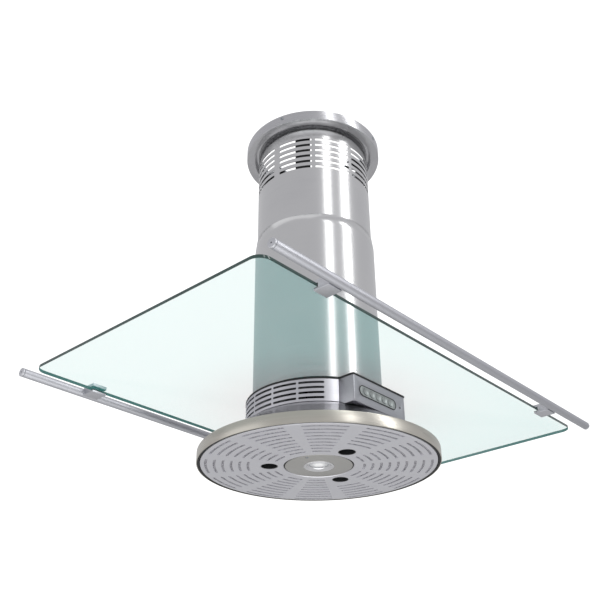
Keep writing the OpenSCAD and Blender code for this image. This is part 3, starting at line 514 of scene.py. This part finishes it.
def make_collar():
    foot, top = low("ceiling_collar").z, high("ceiling_collar").z
    wall = 1.2 * MM
    inner = collar_r - 18 * MM
    neck = upper_r + 0.5 * MM
    recess = foot + 10.5 * MM
    profile = [(collar_r, top), (collar_r, foot + wall), (collar_r - 0.35 * MM, foot + 0.35 * MM),
               (collar_r - wall, foot), (inner + 1.0 * MM, foot), (inner + 0.3 * MM, foot + 0.3 * MM),
               (inner, foot + 1.0 * MM), (inner, recess - 0.8 * MM), (inner - 0.8 * MM, recess - wall),
               (neck, recess - wall), (neck, recess), (inner + wall, recess), (inner + wall, foot + wall),
               (collar_r - wall, foot + wall), (collar_r - wall, top)]
    ring = turned("collar", profile, ((360, 256),))
    finish(ring, collar_steel, "ceiling", ["ceiling_collar"], 40)


def make_collar_screws():
    """Four cross-head screws, level with each other in the collar's side."""
    count, first_azimuth = 4, 15
    z = middle("collar_screws").z
    head_r, head_t, shank_r = 3.4 * MM, 1.8 * MM, 1.9 * MM
    cut_floor, half_cut = collar_r + 1.0 * MM, 0.45 * MM
    past, reach = collar_r + 3 * MM, 4 * MM
    screws = []
    for k in range(count):
        head = rod("head", (collar_r, 0, z), (collar_r + head_t, 0, z), head_r, 32, 0.7 * MM)
        level = block("level_cut", (cut_floor, -reach, z - half_cut), (past, reach, z + half_cut))
        upright = block("upright_cut", (cut_floor, -half_cut, z - reach), (past, half_cut, z + reach))
        cut_away(head, level, upright)
        shank = rod("shank", (collar_r - 6 * MM, 0, z), (collar_r, 0, z), shank_r, 20)
        whole = joined("screw", [head, shank])
        screws.append(copy_turned(whole, first_azimuth + 360 / count * k))
        bpy.data.objects.remove(whole)
    finish(joined("collar_fixing_screws", screws), zinc, "ceiling", ["collar_screws"])


def make_upper_sleeve():
    foot, top = low("upper_cover").z, high("upper_cover").z
    row_count, row_pitch, half_slot = 6, 13.7 * MM, 2.8 * MM
    first_row = -53 * MM
    middles = [first_row - k * row_pitch for k in range(row_count)]
    rows = [(z - half_slot, z + half_slot) for z in middles]
    heights = sorted([foot, top] + [z for row in rows for z in row])
    # nine vents round, in degrees, with a wider web on both sides of the sheet's seam
    vents, web, seam_web = 9, 1.7, 3.4
    pitch = 360 / vents
    start = -178.5
    steps, spans = [], []
    at = start
    for g in range(vents):
        first = seam_web if g == 0 else web
        last = seam_web if g == vents - 1 else web
        steps += [(first, 1), (pitch - first - last, 18), (last, 1)]
        spans.append(((at + first) % 360, (at + first) % 360 + pitch - first - last))
        at += pitch
    sleeve = turned("upper_sleeve", [(upper_r, z) for z in heights], steps, start, ring=False)
    pierced(sleeve, rows, lambda z: spans, by_height=True, corner=1.3 * MM)
    facing(sleeve, outwards)
    modify(sleeve, "SOLIDIFY", thickness=1.0 * MM, offset=-1.0)
    finish(sleeve, tube_steel, "ceiling", ["upper_cover"], 40)


def make_lower_sleeve():
    foot, seam = low("lower_cover").z, high("lower_cover").z
    wall = 1.0 * MM
    neck = upper_r + 0.4 * MM
    hip = seam - 20 * MM
    profile = [(cover_r, foot), (cover_r, hip - 1.5 * MM), (cover_r - 0.06 * MM, hip),
               (cover_r - 0.25 * MM, hip + 1.5 * MM), (neck + wall, seam - 0.3 * MM),
               (neck + wall - 0.3 * MM, seam), (neck, seam), (cover_r - wall, hip), (cover_r - wall, foot)]
    sleeve = turned("lower_sleeve", profile, ((360, 256),))
    finish(sleeve, tube_steel, "hood", ["lower_cover"], 40)


# ------------------------------------------------------------------ glass, rails and clamps

def make_glass():
    corner_r = 20 * MM
    opening_r = cover_r - 22 * MM
    past = 5 * MM
    pane = block("canopy_glass", glass_low, glass_high)
    use(pane)
    edit()
    pick(pane, "EDGE", lambda at, run: abs(run.z) > 0.9 * run.length)
    bpy.ops.mesh.bevel(offset=corner_r, segments=14, affect="EDGES")
    done()
    cut_away(pane, rod("hole", (0, 0, glass_low.z - past), (0, 0, glass_high.z + past), opening_r, 128))
    round_edges(pane, 0.7 * MM, 2, 60)
    finish(pane, glass, "hood", ["glass_canopy"], 25)


def make_rails():
    """Two round bars, and a turned cap with a blind hole in each end."""
    rails = ("front_rail", "rear_rail")
    bar_r, cap_t, gap = 7.5 * MM, 4.0 * MM, 0.2 * MM
    end = (high("rail_caps").x - low("rail_caps").x) / 2
    for node in rails:
        y = middle(node).y
        half = end - cap_t - gap
        bar = rod(node + "_tube", (-half, y, glass_mid), (half, y, glass_mid), bar_r, 64, 0.25 * MM)
        finish(bar, rail_metal, "hood", [node], 40)
    caps = []
    for side in (-1, 1):
        for node in rails:
            y = middle(node).y

            def bar_along(name, start, stop, radius, sides, edge=0.0):
                return rod(name, (side * start, y, glass_mid), (side * stop, y, glass_mid),
                           radius, sides, edge)
            cap = bar_along("cap", end - cap_t, end, bar_r, 64, 0.8 * MM)
            caps.append(cut_away(cap, bar_along("hole", end - 2.5 * MM, end + 2 * MM, 1.3 * MM, 24)))
            caps.append(bar_along("neck", end - cap_t - 0.3 * MM, end - cap_t + 0.1 * MM, 6.9 * MM, 48))
    finish(joined("rail_end_caps", caps), clamp_metal, "hood", ["rail_caps"], 40)


def make_clamps():
    """Four clamps: a body over the glass, a jaw under it, pads between, and a hexagon socket screw."""
    rail_out, reach_in, reach_out = 27 * MM, 7 * MM, 21 * MM
    pad, jaw_t, clear = 0.8 * MM, 3.5 * MM, 0.03 * MM
    screw_out, head_r, head_t, socket_r = 9 * MM, 3.8 * MM, 2.6 * MM, 1.9 * MM
    under, over = glass_low.z - pad, glass_high.z + pad
    jaws, pads, screws = [], [], []
    for k in range(1, 5):
        node = "rail_clamp_%d" % k
        lo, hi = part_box(node)
        x = middle(node).x
        half = (hi.x - lo.x) / 2
        out = -1 if k < 3 else 1
        edge_y = glass_low.y if k < 3 else glass_high.y
        rail_y = edge_y + out * rail_out

        def bar(name, y_in, y_out, z0, z1, soft=0.0):
            ys = sorted((edge_y + out * y_in, edge_y + out * y_out))
            return block(name, (x - half, ys[0], z0), (x + half, ys[1], z1), soft, 3)

        def rail_hollow():
            past = 40 * MM
            return rod("hollow", (x - past, rail_y, glass_mid), (x + past, rail_y, glass_mid), 7.55 * MM, 64)
        body = bar(node + "_body", -reach_in, reach_out, over, hi.z)
        web = bar("web", 1 * MM, reach_out, under, over + 0.5 * MM)
        modify(body, "BOOLEAN", object=web, operation="UNION", solver="EXACT")
        bpy.data.objects.remove(web)
        cut_away(body, rail_hollow())
        round_edges(body, 0.7 * MM, 3, 50)
        finish(body, clamp_metal, "hood", [node])
        jaw = bar("jaw", -reach_in, reach_out, under - jaw_t, under - clear)
        cut_away(jaw, rail_hollow())
        jaws.append(round_edges(jaw, 0.6 * MM, 3, 50))
        for z in (under, glass_high.z):
            pads.append(bar("pad", -6.7 * MM, -0.1 * MM, z + 0.02 * MM, z + pad - 0.02 * MM, 0.15 * MM))
        screw_y = edge_y + out * screw_out
        head = rod("head", (x, screw_y, hi.z), (x, screw_y, hi.z + head_t), head_r, 32, 0.4 * MM)
        deselect()
        bpy.ops.mesh.primitive_cylinder_add(vertices=6, radius=socket_r, depth=4 * MM,
                                            location=(x, screw_y, hi.z + 3.2 * MM))
        screws.append(cut_away(head, settle(bpy.context.object)))
    finish(joined("clamp_lower_jaws", jaws), clamp_metal, "hood", ["clamp_jaws"])
    finish(joined("clamp_glass_pads", pads), rubber, "hood", ["clamp_pads"])
    finish(joined("clamp_hex_screws", screws), zinc, "hood", ["clamp_screws"])


# ------------------------------------------------------------------ drum and controls

def make_drum():
    wall = 1.5 * MM
    row_count, row_pitch, half_slot = 4, 9.3 * MM, 2.0 * MM
    first_row = base + 77.55 * MM
    middles = [first_row + k * row_pitch for k in range(row_count)]
    rows = [(z - half_slot, z + half_slot) for z in middles]
    heights = sorted([drum_low, drum_high] + [z for row in rows for z in row])
    # a plain front, then thirteen groups of slots with a post on both sides of each, in degrees
    half_front, groups, post = 43.4, 13, 0.8
    pitch = (360 - 2 * half_front) / groups
    start = -90 - half_front
    steps = [(2 * half_front, 28)]
    spans = []
    at = -90 + half_front
    for _ in range(groups):
        steps += [(post, 1), (pitch - 2 * post, 10), (post, 1)]
        spans.append(((at + post) % 360, (at + post) % 360 + pitch - 2 * post))
        at += pitch
    sleeve = turned("drum", [(drum_r, z) for z in heights], steps, start, ring=False)
    pierced(sleeve, rows, lambda z: spans, by_height=True, corner=1.6 * MM)
    # the front is open behind the control box
    half_open = 66 * MM
    use(sleeve)
    edit()
    pick(sleeve, "FACE", lambda at, _: at.y < 0 and abs(at.x) < half_open and rows[0][0] - 1 * MM < at.z)
    bpy.ops.mesh.delete(type="FACE")
    done()
    facing(sleeve, outwards)
    modify(sleeve, "SOLIDIFY", thickness=wall, offset=-1.0)
    lid_r, hole_r = drum_r - 1.6 * MM, cover_r - 40 * MM
    lid = turned("lid", [(lid_r, drum_high), (hole_r, drum_high), (hole_r, drum_high - wall),
                         (lid_r, drum_high - wall)])
    sleeve.data.materials.append(drum_steel)
    lid.data.materials.append(galvanised)
    finish(joined("drum", [sleeve, lid]), None, "hood", ["drum_housing"], 40)


def make_control_box():
    """A folded box, open at the back, scribed to the cone below it and to the drum behind it."""
    lo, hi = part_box("control_box")
    half, front, floor, top = hi.x, lo.y, lo.z, hi.z
    back = -90 * MM
    inside = Vector((0, -110 * MM, (floor + top) / 2))
    box = block("control_box_shell", (-half, front, floor), (half, back, top))
    use(box)
    edit()
    pick(box, "EDGE", lambda at, run: abs(run.z) > 0.9 * run.length and at.y < front + 1 * MM)
    bpy.ops.mesh.bevel(offset=2.2 * MM, segments=5, affect="EDGES")
    pick(box, "FACE", lambda at, n: n.y > 0.9)
    bpy.ops.mesh.delete(type="FACE")
    done()
    facing(box, lambda at: (at - inside).normalized())
    modify(box, "SOLIDIFY", thickness=1.5 * MM, offset=-1.0)
    slope = (drum_low - cone_foot) / (cone_foot_r - cone_top_r)
    wider, clear = 30 * MM, 0.4 * MM
    deselect()
    bpy.ops.mesh.primitive_cone_add(vertices=160, radius1=cone_foot_r + wider, radius2=cone_top_r,
                                    depth=drum_low - cone_foot + wider * slope,
                                    location=(0, 0, (drum_low + cone_foot - wider * slope) / 2 + clear))
    cone = settle(bpy.context.object)
    past = 5 * MM
    core = rod("core", (0, 0, floor - past), (0, 0, top + past), drum_r + 0.15 * MM, 160)
    seal_lo, seal_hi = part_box("keypad_seal")
    keys = middle("keypad_seal")
    inset = 2.9 * MM
    window = stadium("window", keys.x, keys.z, seal_hi.x - seal_lo.x - inset, seal_hi.z - seal_lo.z - inset,
                     front - past, front + 8 * MM)
    eye = middle("status_lens")
    peep = rod("peep", (eye.x, front - past, eye.z), (eye.x, front + 8 * MM, eye.z), 2 * MM, 32)
    cut_away(box, cone, core, window, peep)
    round_edges(box, 0.3 * MM, 2, 60)
    finish(box, box_steel, "hood", ["control_box"], 30)


def make_keypad():
    """The rubber outline, the steel plate inside it with five dished keys, and the status eye."""
    front = low("control_box").y
    seal_lo, seal_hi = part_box("keypad_seal")
    keys = middle("keypad_seal")
    w, h = seal_hi.x - seal_lo.x - 3 * MM, seal_hi.z - seal_lo.z - 3 * MM
    rim, clear, past = 1.3 * MM, 0.1 * MM, 5 * MM
    inner_w, inner_h = w - 2 * rim, h - 2 * rim
    seal = stadium("keypad_rubber", keys.x, keys.z, w, h, front - 0.8 * MM, front + 2.5 * MM)
    cut_away(seal, stadium("inside", keys.x, keys.z, inner_w, inner_h, front - 3 * MM, front + past))
    round_edges(seal, 0.3 * MM, 3, 60)
    finish(seal, rubber, "hood", ["keypad_seal"])
    plate = stadium("keypad_steel", keys.x, keys.z, inner_w - clear, inner_h - clear,
                    front - 0.4 * MM, front + 1.9 * MM)
    # radius and depth, from the dished middle over the rounded lip to the flange and the stem behind
    key_profile = [(0, 1.0 * MM), (1.5 * MM, 0.96 * MM), (3.2 * MM, 0.78 * MM), (4.6 * MM, 0.45 * MM),
                   (5.3 * MM, 0.12 * MM), (5.65 * MM, 0), (5.9 * MM, 0.12 * MM), (6.0 * MM, 0.4 * MM),
                   (6.0 * MM, 3.6 * MM), (6.9 * MM, 3.6 * MM), (6.9 * MM, 4.5 * MM), (2 * MM, 4.5 * MM),
                   (2 * MM, 7.9 * MM), (0, 7.9 * MM)]
    for k in range(1, 6):
        node = "button_%d" % k
        x, z = middle(node).x, middle(node).z
        cut_away(plate, rod("bore", (x, front - 3 * MM, z), (x, front + past, z), 6.35 * MM, 48))
        key = turned("key_%d" % k, key_profile, ((360, 48),), ring=False)
        key.matrix_world = (Matrix.Translation((x, low(node).y, z))
                            @ Matrix.Rotation(math.radians(-90), 4, "X"))
        finish(key, key_steel, node, [node], 35)
    round_edges(plate, 0.2 * MM, 2, 60)
    finish(plate, key_steel, "hood", ["keypad_plate"])
    eye = middle("status_lens")
    lens = rod("status_eye", (eye.x, front - 0.3 * MM, eye.z), (eye.x, front + past, eye.z), 1.9 * MM, 32,
               0.3 * MM)
    finish(lens, smoked, "hood", ["status_lens"])


# ------------------------------------------------------------------ suction disc

def make_disc():
    """The cone with a collar turned up inside the drum, the folded rim, and the rubber inside the rim."""
    sheet = 1.2 * MM
    top = drum_low - 0.05 * MM
    flange_r, tuck, neck_r = cone_foot_r + 2.5 * MM, 3.4 * MM, cone_top_r - 0.7 * MM
    cone = turned("disc_cone", [(flange_r, cone_foot), (cone_foot_r, cone_foot),
                                (cone_top_r + 0.6 * MM, top - 0.5 * MM), (cone_top_r, top - 0.1 * MM),
                                (neck_r, top), (neck_r, top + tuck), (neck_r - sheet, top + tuck),
                                (neck_r - sheet, top - 1.4 * MM), (cone_foot_r - 0.3 * MM, cone_foot - sheet),
                                (flange_r, cone_foot - sheet)], ((360, 256),))
    finish(cone, cone_steel, "hood", ["disc_cover"], 35)
    foot, wall, seat_r = base + 0.3 * MM, 1.5 * MM, cone_foot_r + 0.3 * MM
    rim = turned("disc_rim_band", [(disc_r - wall, foot), (disc_r - 0.5 * MM, foot),
                                   (disc_r - 0.15 * MM, foot + 0.15 * MM), (disc_r, foot + 0.6 * MM),
                                   (disc_r, rim_top - 1.8 * MM), (disc_r - 0.5 * MM, rim_top - 0.5 * MM),
                                   (disc_r - 1.8 * MM, rim_top), (seat_r, rim_top),
                                   (seat_r, rim_top - 1.3 * MM), (disc_r - wall, rim_top - 1.3 * MM)],
                 ((360, 320),))
    finish(rim, rim_steel, "hood", ["disc_rim"], 40)
    outer, inner = disc_r - 1.55 * MM, plate_r + 1.1 * MM
    seal_low, seal_high, chamfer = base + 1.2 * MM, base + 4.5 * MM, 0.5 * MM
    seal = turned("rim_rubber", [(outer, seal_low), (outer, seal_high), (inner, seal_high),
                                 (inner, seal_low + chamfer), (inner + chamfer, seal_low)], ((360, 256),))
    finish(seal, rubber, "hood", ["rim_seal"])


def make_filter_plate():
    """A dished plate with twelve sectors of curved slots and three finger cups."""
    bore = cap_r + 2 * MM
    sheet, depth = 1.2 * MM, 8 * MM
    row_count, first_row, row_pitch, half_slot = 9, 81.4 * MM, 14.9 * MM, 2.2 * MM
    middles = [first_row + k * row_pitch for k in range(row_count)]
    rows = [(r - half_slot, r + half_slot) for r in middles]
    # in degrees: each sector is a slot with half a web on both sides
    sectors, half_web, slot = 12, 4, 22
    pitch = 360 // sectors
    cup_azimuths, cup_ring_r, cup_bore_r, cup_r = [14, 134, 254], 88 * MM, 15.4 * MM, 15.3 * MM
    start = cup_azimuths[0] - pitch // 2
    steps, wide, narrow = [], [], []
    for s in range(sectors):
        steps += [(half_web, 2), (slot, 9), (half_web, 2)]
        first = (start + half_web + pitch * s) % 360
        wide.append((first, first + slot))
        if round((first + slot / 2) % 360) not in cup_azimuths:
            narrow.append((first, first + slot))

    def spans(radius):
        """A sector with a finger cup has no slots inside the cup's outer side."""
        return narrow if radius < cup_ring_r + 30 * MM else wide
    chain = [(bore, base + depth), (bore, base + sheet), (bore + sheet, base)]
    chain += [(r, base) for row in rows for r in row]
    chain += [(plate_r - 1.4 * MM, base), (plate_r - 0.4 * MM, base + 0.4 * MM), (plate_r, base + 1.4 * MM),
              (plate_r, base + depth)]
    plate = turned("filter_plate_sheet", chain, steps, start, ring=False)
    pierced(plate, rows, spans, by_height=False, corner=1.9 * MM)
    facing(plate, lambda at: Vector((0, 0, -1)))
    modify(plate, "SOLIDIFY", thickness=sheet, offset=-1.0)
    past = 5 * MM
    cup_profile = [(cup_r, base + 0.5 * MM), (cup_r - 0.3 * MM, base + 0.1 * MM),
                   (cup_r - 0.9 * MM, base + 0.1 * MM), (cup_r - 1.4 * MM, base + 0.6 * MM),
                   (cup_r - 2.2 * MM, base + 11.4 * MM), (cup_r - 3.4 * MM, base + 12.6 * MM),
                   (0, base + 12.6 * MM), (0, base + 13.8 * MM), (cup_r - 1.6 * MM, base + 13.8 * MM),
                   (cup_r - 0.1 * MM, base + 12.4 * MM)]
    cups = []
    for azimuth_deg in cup_azimuths:
        a = math.radians(azimuth_deg)
        x, y = cup_ring_r * math.cos(a), cup_ring_r * math.sin(a)
        cut_away(plate, rod("bore", (x, y, base - past), (x, y, base + past), cup_bore_r, 64))
        cup = turned("cup", cup_profile, ((360, 64),))
        cup.matrix_world = Matrix.Translation((x, y, 0))
        cups.append(settle(cup))
    finish(plate, plate_steel, "filter", ["filter_plate"], 35)
    finish(joined("finger_cup_liners", cups), black_plastic, "filter", ["finger_cups"], 40)


def make_lamp_cap():
    """The pressed cap round the lamp, held by one slotted screw."""
    inner = high("lamp_bezel").x - 2 * MM
    foot, top = base + 0.1 * MM, high("lamp_cap").z
    wall = 1.2 * MM
    cap = turned("lamp_cap_disc", [(inner, foot), (cap_r - wall, foot), (cap_r - 0.3 * MM, foot + 0.3 * MM),
                                   (cap_r, foot + wall), (cap_r, top), (cap_r - wall, top),
                                   (cap_r - wall, foot + 1.4 * MM), (inner, foot + 1.4 * MM)], ((360, 160),))
    x, y = middle("cap_screw").x, middle("cap_screw").y
    cut_away(cap, rod("bore", (x, y, base - 3 * MM), (x, y, base + 4 * MM), 1.6 * MM, 24))
    finish(cap, cap_steel, "hood", ["lamp_cap"], 35)
    head = rod("cap_fixing_screw", (x, y, base - 0.8 * MM), (x, y, base + 0.08 * MM), 2.6 * MM, 32, 0.3 * MM)
    half_cut, reach = 0.4 * MM, 3 * MM
    cut_away(head, block("slot", (x - reach, y - half_cut, base - 2 * MM),
                         (x + reach, y + half_cut, base - 0.3 * MM)))
    finish(head, zinc, "hood", ["cap_screw"])


def make_lamp():
    """The chrome bezel, which rolls in over the edge of the pressed glass lens."""
    bezel_r = high("lamp_bezel").x
    lens_r = bezel_r - 9.5 * MM
    throat_r, seat, flange_r = lens_r + 0.1 * MM, base + 4.0 * MM, bezel_r - 2.2 * MM
    bezel_profile = [(bezel_r, base + 0.08 * MM), (bezel_r - 0.2 * MM, base - 0.6 * MM),
                     (bezel_r - 1.0 * MM, base - 1.3 * MM), (flange_r, base - 1.6 * MM),
                     (bezel_r - 3.4 * MM, base - 1.2 * MM), (lens_r + 3.2 * MM, base + 1.2 * MM),
                     (lens_r + 2.6 * MM, base + 1.5 * MM), (lens_r + 1.0 * MM, base + 3.0 * MM),
                     (throat_r, base + 3.2 * MM), (throat_r, seat), (lens_r + 1.6 * MM, seat),
                     (lens_r + 1.6 * MM, base + 8 * MM), (lens_r + 2.6 * MM, base + 8 * MM),
                     (lens_r + 2.6 * MM, base + 3.7 * MM), (flange_r, base + 1.0 * MM),
                     (flange_r, base + 0.08 * MM)]
    bezel = turned("lamp_bezel_ring", bezel_profile, ((360, 128),))
    finish(bezel, chrome, "hood", ["lamp_bezel"], 30)
    lip_r, lip, back = lens_r + 1.4 * MM, seat + 0.1 * MM, base + 6.4 * MM
    lens_profile = [(0, base + 2.2 * MM), (6 * MM, base + 2.35 * MM), (12 * MM, base + 2.8 * MM),
                    (lens_r - 0.6 * MM, base + 3.6 * MM), (lens_r - 0.4 * MM, lip), (lip_r, lip),
                    (lip_r, back), (0, back)]
    lens = turned("lamp_lens_glass", lens_profile, ((360, 96),), ring=False)
    finish(lens, lens_glass, "hood", ["lamp_lens"], 30)


make_collar()
make_collar_screws()
make_upper_sleeve()
make_lower_sleeve()
make_glass()
make_rails()
make_clamps()
make_drum()
make_control_box()
make_keypad()
make_disc()
make_filter_plate()
make_lamp_cap()
make_lamp()


# ------------------------------------------------------------------ finishes of parts that keep their shape

def dress(names, material):
    """Gives a better finish to parts whose modelled shape is already right."""
    for name in names.split():
        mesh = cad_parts[name].data
        mesh.materials.clear()
        mesh.materials.append(material)


dress("upper_struts lower_struts", black_paint)
dress("ceiling_ring carrier_ring motor_mount lamp_bracket blower_housing inlet_ring", galvanised)
dress("ring_screws strut_bolts canopy_screws catch_studs damper_pin motor_shaft", zinc)
dress("drum_gasket glass_washer", rubber)
dress("impeller junction_box", black_plastic)
dress("grease_filter", mesh_metal)
dress("catch_clips", spring_metal)
dress("fan_motor", grey_enamel)
dress("outlet_spigot", white_plastic)
dress("damper_flap_front damper_flap_rear", flap_metal)
dress("control_board", board_lacquer)
dress("lamp_unit", lamp_metal)


# ------------------------------------------------------------------ floor, light and camera

def make_stage():
    """The floor of a room 2.35 m high, and the studio's light all round."""
    room_height, floor_size = 2.35, 300
    deselect()
    bpy.ops.mesh.primitive_plane_add(size=floor_size, location=(0, 0, -room_height))
    floor = bpy.context.object
    floor.name = "floor"
    made, tree = blank("pale_floor")
    place = add(tree, "TexCoord")
    mottle = add(tree, "TexNoise", {"Scale": 3.0, "Detail": 4.0}, {"Vector": place.outputs["Object"]})
    tint = add(tree, "MixRGB", {"Color1": linear("#eeeeec"), "Color2": linear("#eaeae8")},
               {"Fac": mottle.outputs[0]})
    skin = add(tree, "BsdfPrincipled", {"Roughness": 0.8}, {"Base Color": tint.outputs[0]})
    add(tree, "OutputMaterial", (), {"Surface": skin.outputs[0]})
    floor.data.materials.append(made)

    world = bpy.data.worlds.new("studio")
    bpy.context.scene.world = world
    world.use_nodes = True
    tree = world.node_tree
    tree.nodes.clear()
    # what the eye sees behind the hood is whiter than what lights it
    seen = add(tree, "LightPath")
    around = add(tree, "Background", {"Color": (0.62, 0.62, 0.64, 1.0), "Strength": 1.0})
    paper = add(tree, "Background", {"Color": (1.0, 1.0, 1.0, 1.0), "Strength": 1.25})
    both = add(tree, "MixShader", (), {0: seen.outputs["Is Camera Ray"], 1: around.outputs[0],
                                       2: paper.outputs[0]})
    add(tree, "OutputWorld", (), {"Surface": both.outputs[0]})


def soft_light(name, azimuth_deg, elevation_deg, distance, width, height, watts):
    """A rectangular softbox, in metres, that faces the middle of the column."""
    aim = Vector((0, 0, -350 * MM))
    a, e = math.radians(azimuth_deg), math.radians(elevation_deg)
    toward = Vector((math.cos(a) * math.cos(e), math.sin(a) * math.cos(e), math.sin(e)))
    data = bpy.data.lights.new(name, "AREA")
    data.shape = "RECTANGLE"
    data.size, data.size_y = width, height
    data.energy = watts
    lamp = bpy.data.objects.new(name, data)
    lamp.location = aim + toward * distance
    lamp.rotation_euler = toward.to_track_quat("Z", "Y").to_euler()
    lamp.visible_camera = False
    bpy.context.scene.collection.objects.link(lamp)


def make_lights():
    # two tall strips draw the highlights down the column, and three wide boxes fill the rest
    soft_light("strip_near", azimuth_deg=-111.4, elevation_deg=25, distance=2.6,
               width=0.38, height=2.6, watts=10)
    soft_light("strip_side", azimuth_deg=-74.4, elevation_deg=25, distance=2.6,
               width=0.40, height=2.6, watts=17)
    soft_light("top", azimuth_deg=90, elevation_deg=80, distance=3.0, width=3.0, height=3.0, watts=8)
    soft_light("low", azimuth_deg=-139, elevation_deg=-60, distance=1.5, width=2.0, height=2.0, watts=12)
    soft_light("left", azimuth_deg=150, elevation_deg=-12, distance=3.0, width=2.4, height=2.8, watts=10)


def make_camera():
    """A camera below the hood, to the front left of it, that looks up at the glass from beneath."""
    turn, rise, roll = math.radians(-48.55), math.radians(-29.06), math.radians(-0.74)
    aim_height, aside, distance = base + 328.7 * MM, 20.91 * MM, 1663.2 * MM
    back = Vector((math.sin(turn) * math.cos(rise), -math.cos(turn) * math.cos(rise), math.sin(rise)))
    right = Vector((math.cos(turn), math.sin(turn), 0))
    up = back.cross(right)
    across = right * math.cos(roll) + up * math.sin(roll)
    above = up * math.cos(roll) - right * math.sin(roll)
    place = Vector((0, 0, aim_height)) - right * aside + back * distance
    data = bpy.data.cameras.new("camera")
    data.lens = 49.91
    data.sensor_width = 36
    data.clip_end = 60
    camera = bpy.data.objects.new("camera", data)
    camera.matrix_world = Matrix(((across.x, above.x, back.x, place.x), (across.y, above.y, back.y, place.y),
                                  (across.z, above.z, back.z, place.z), (0, 0, 0, 1)))
    bpy.context.scene.collection.objects.link(camera)
    bpy.context.scene.camera = camera


make_stage()
make_lights()
make_camera()
bpy.context.scene.view_settings.view_transform = "Standard"
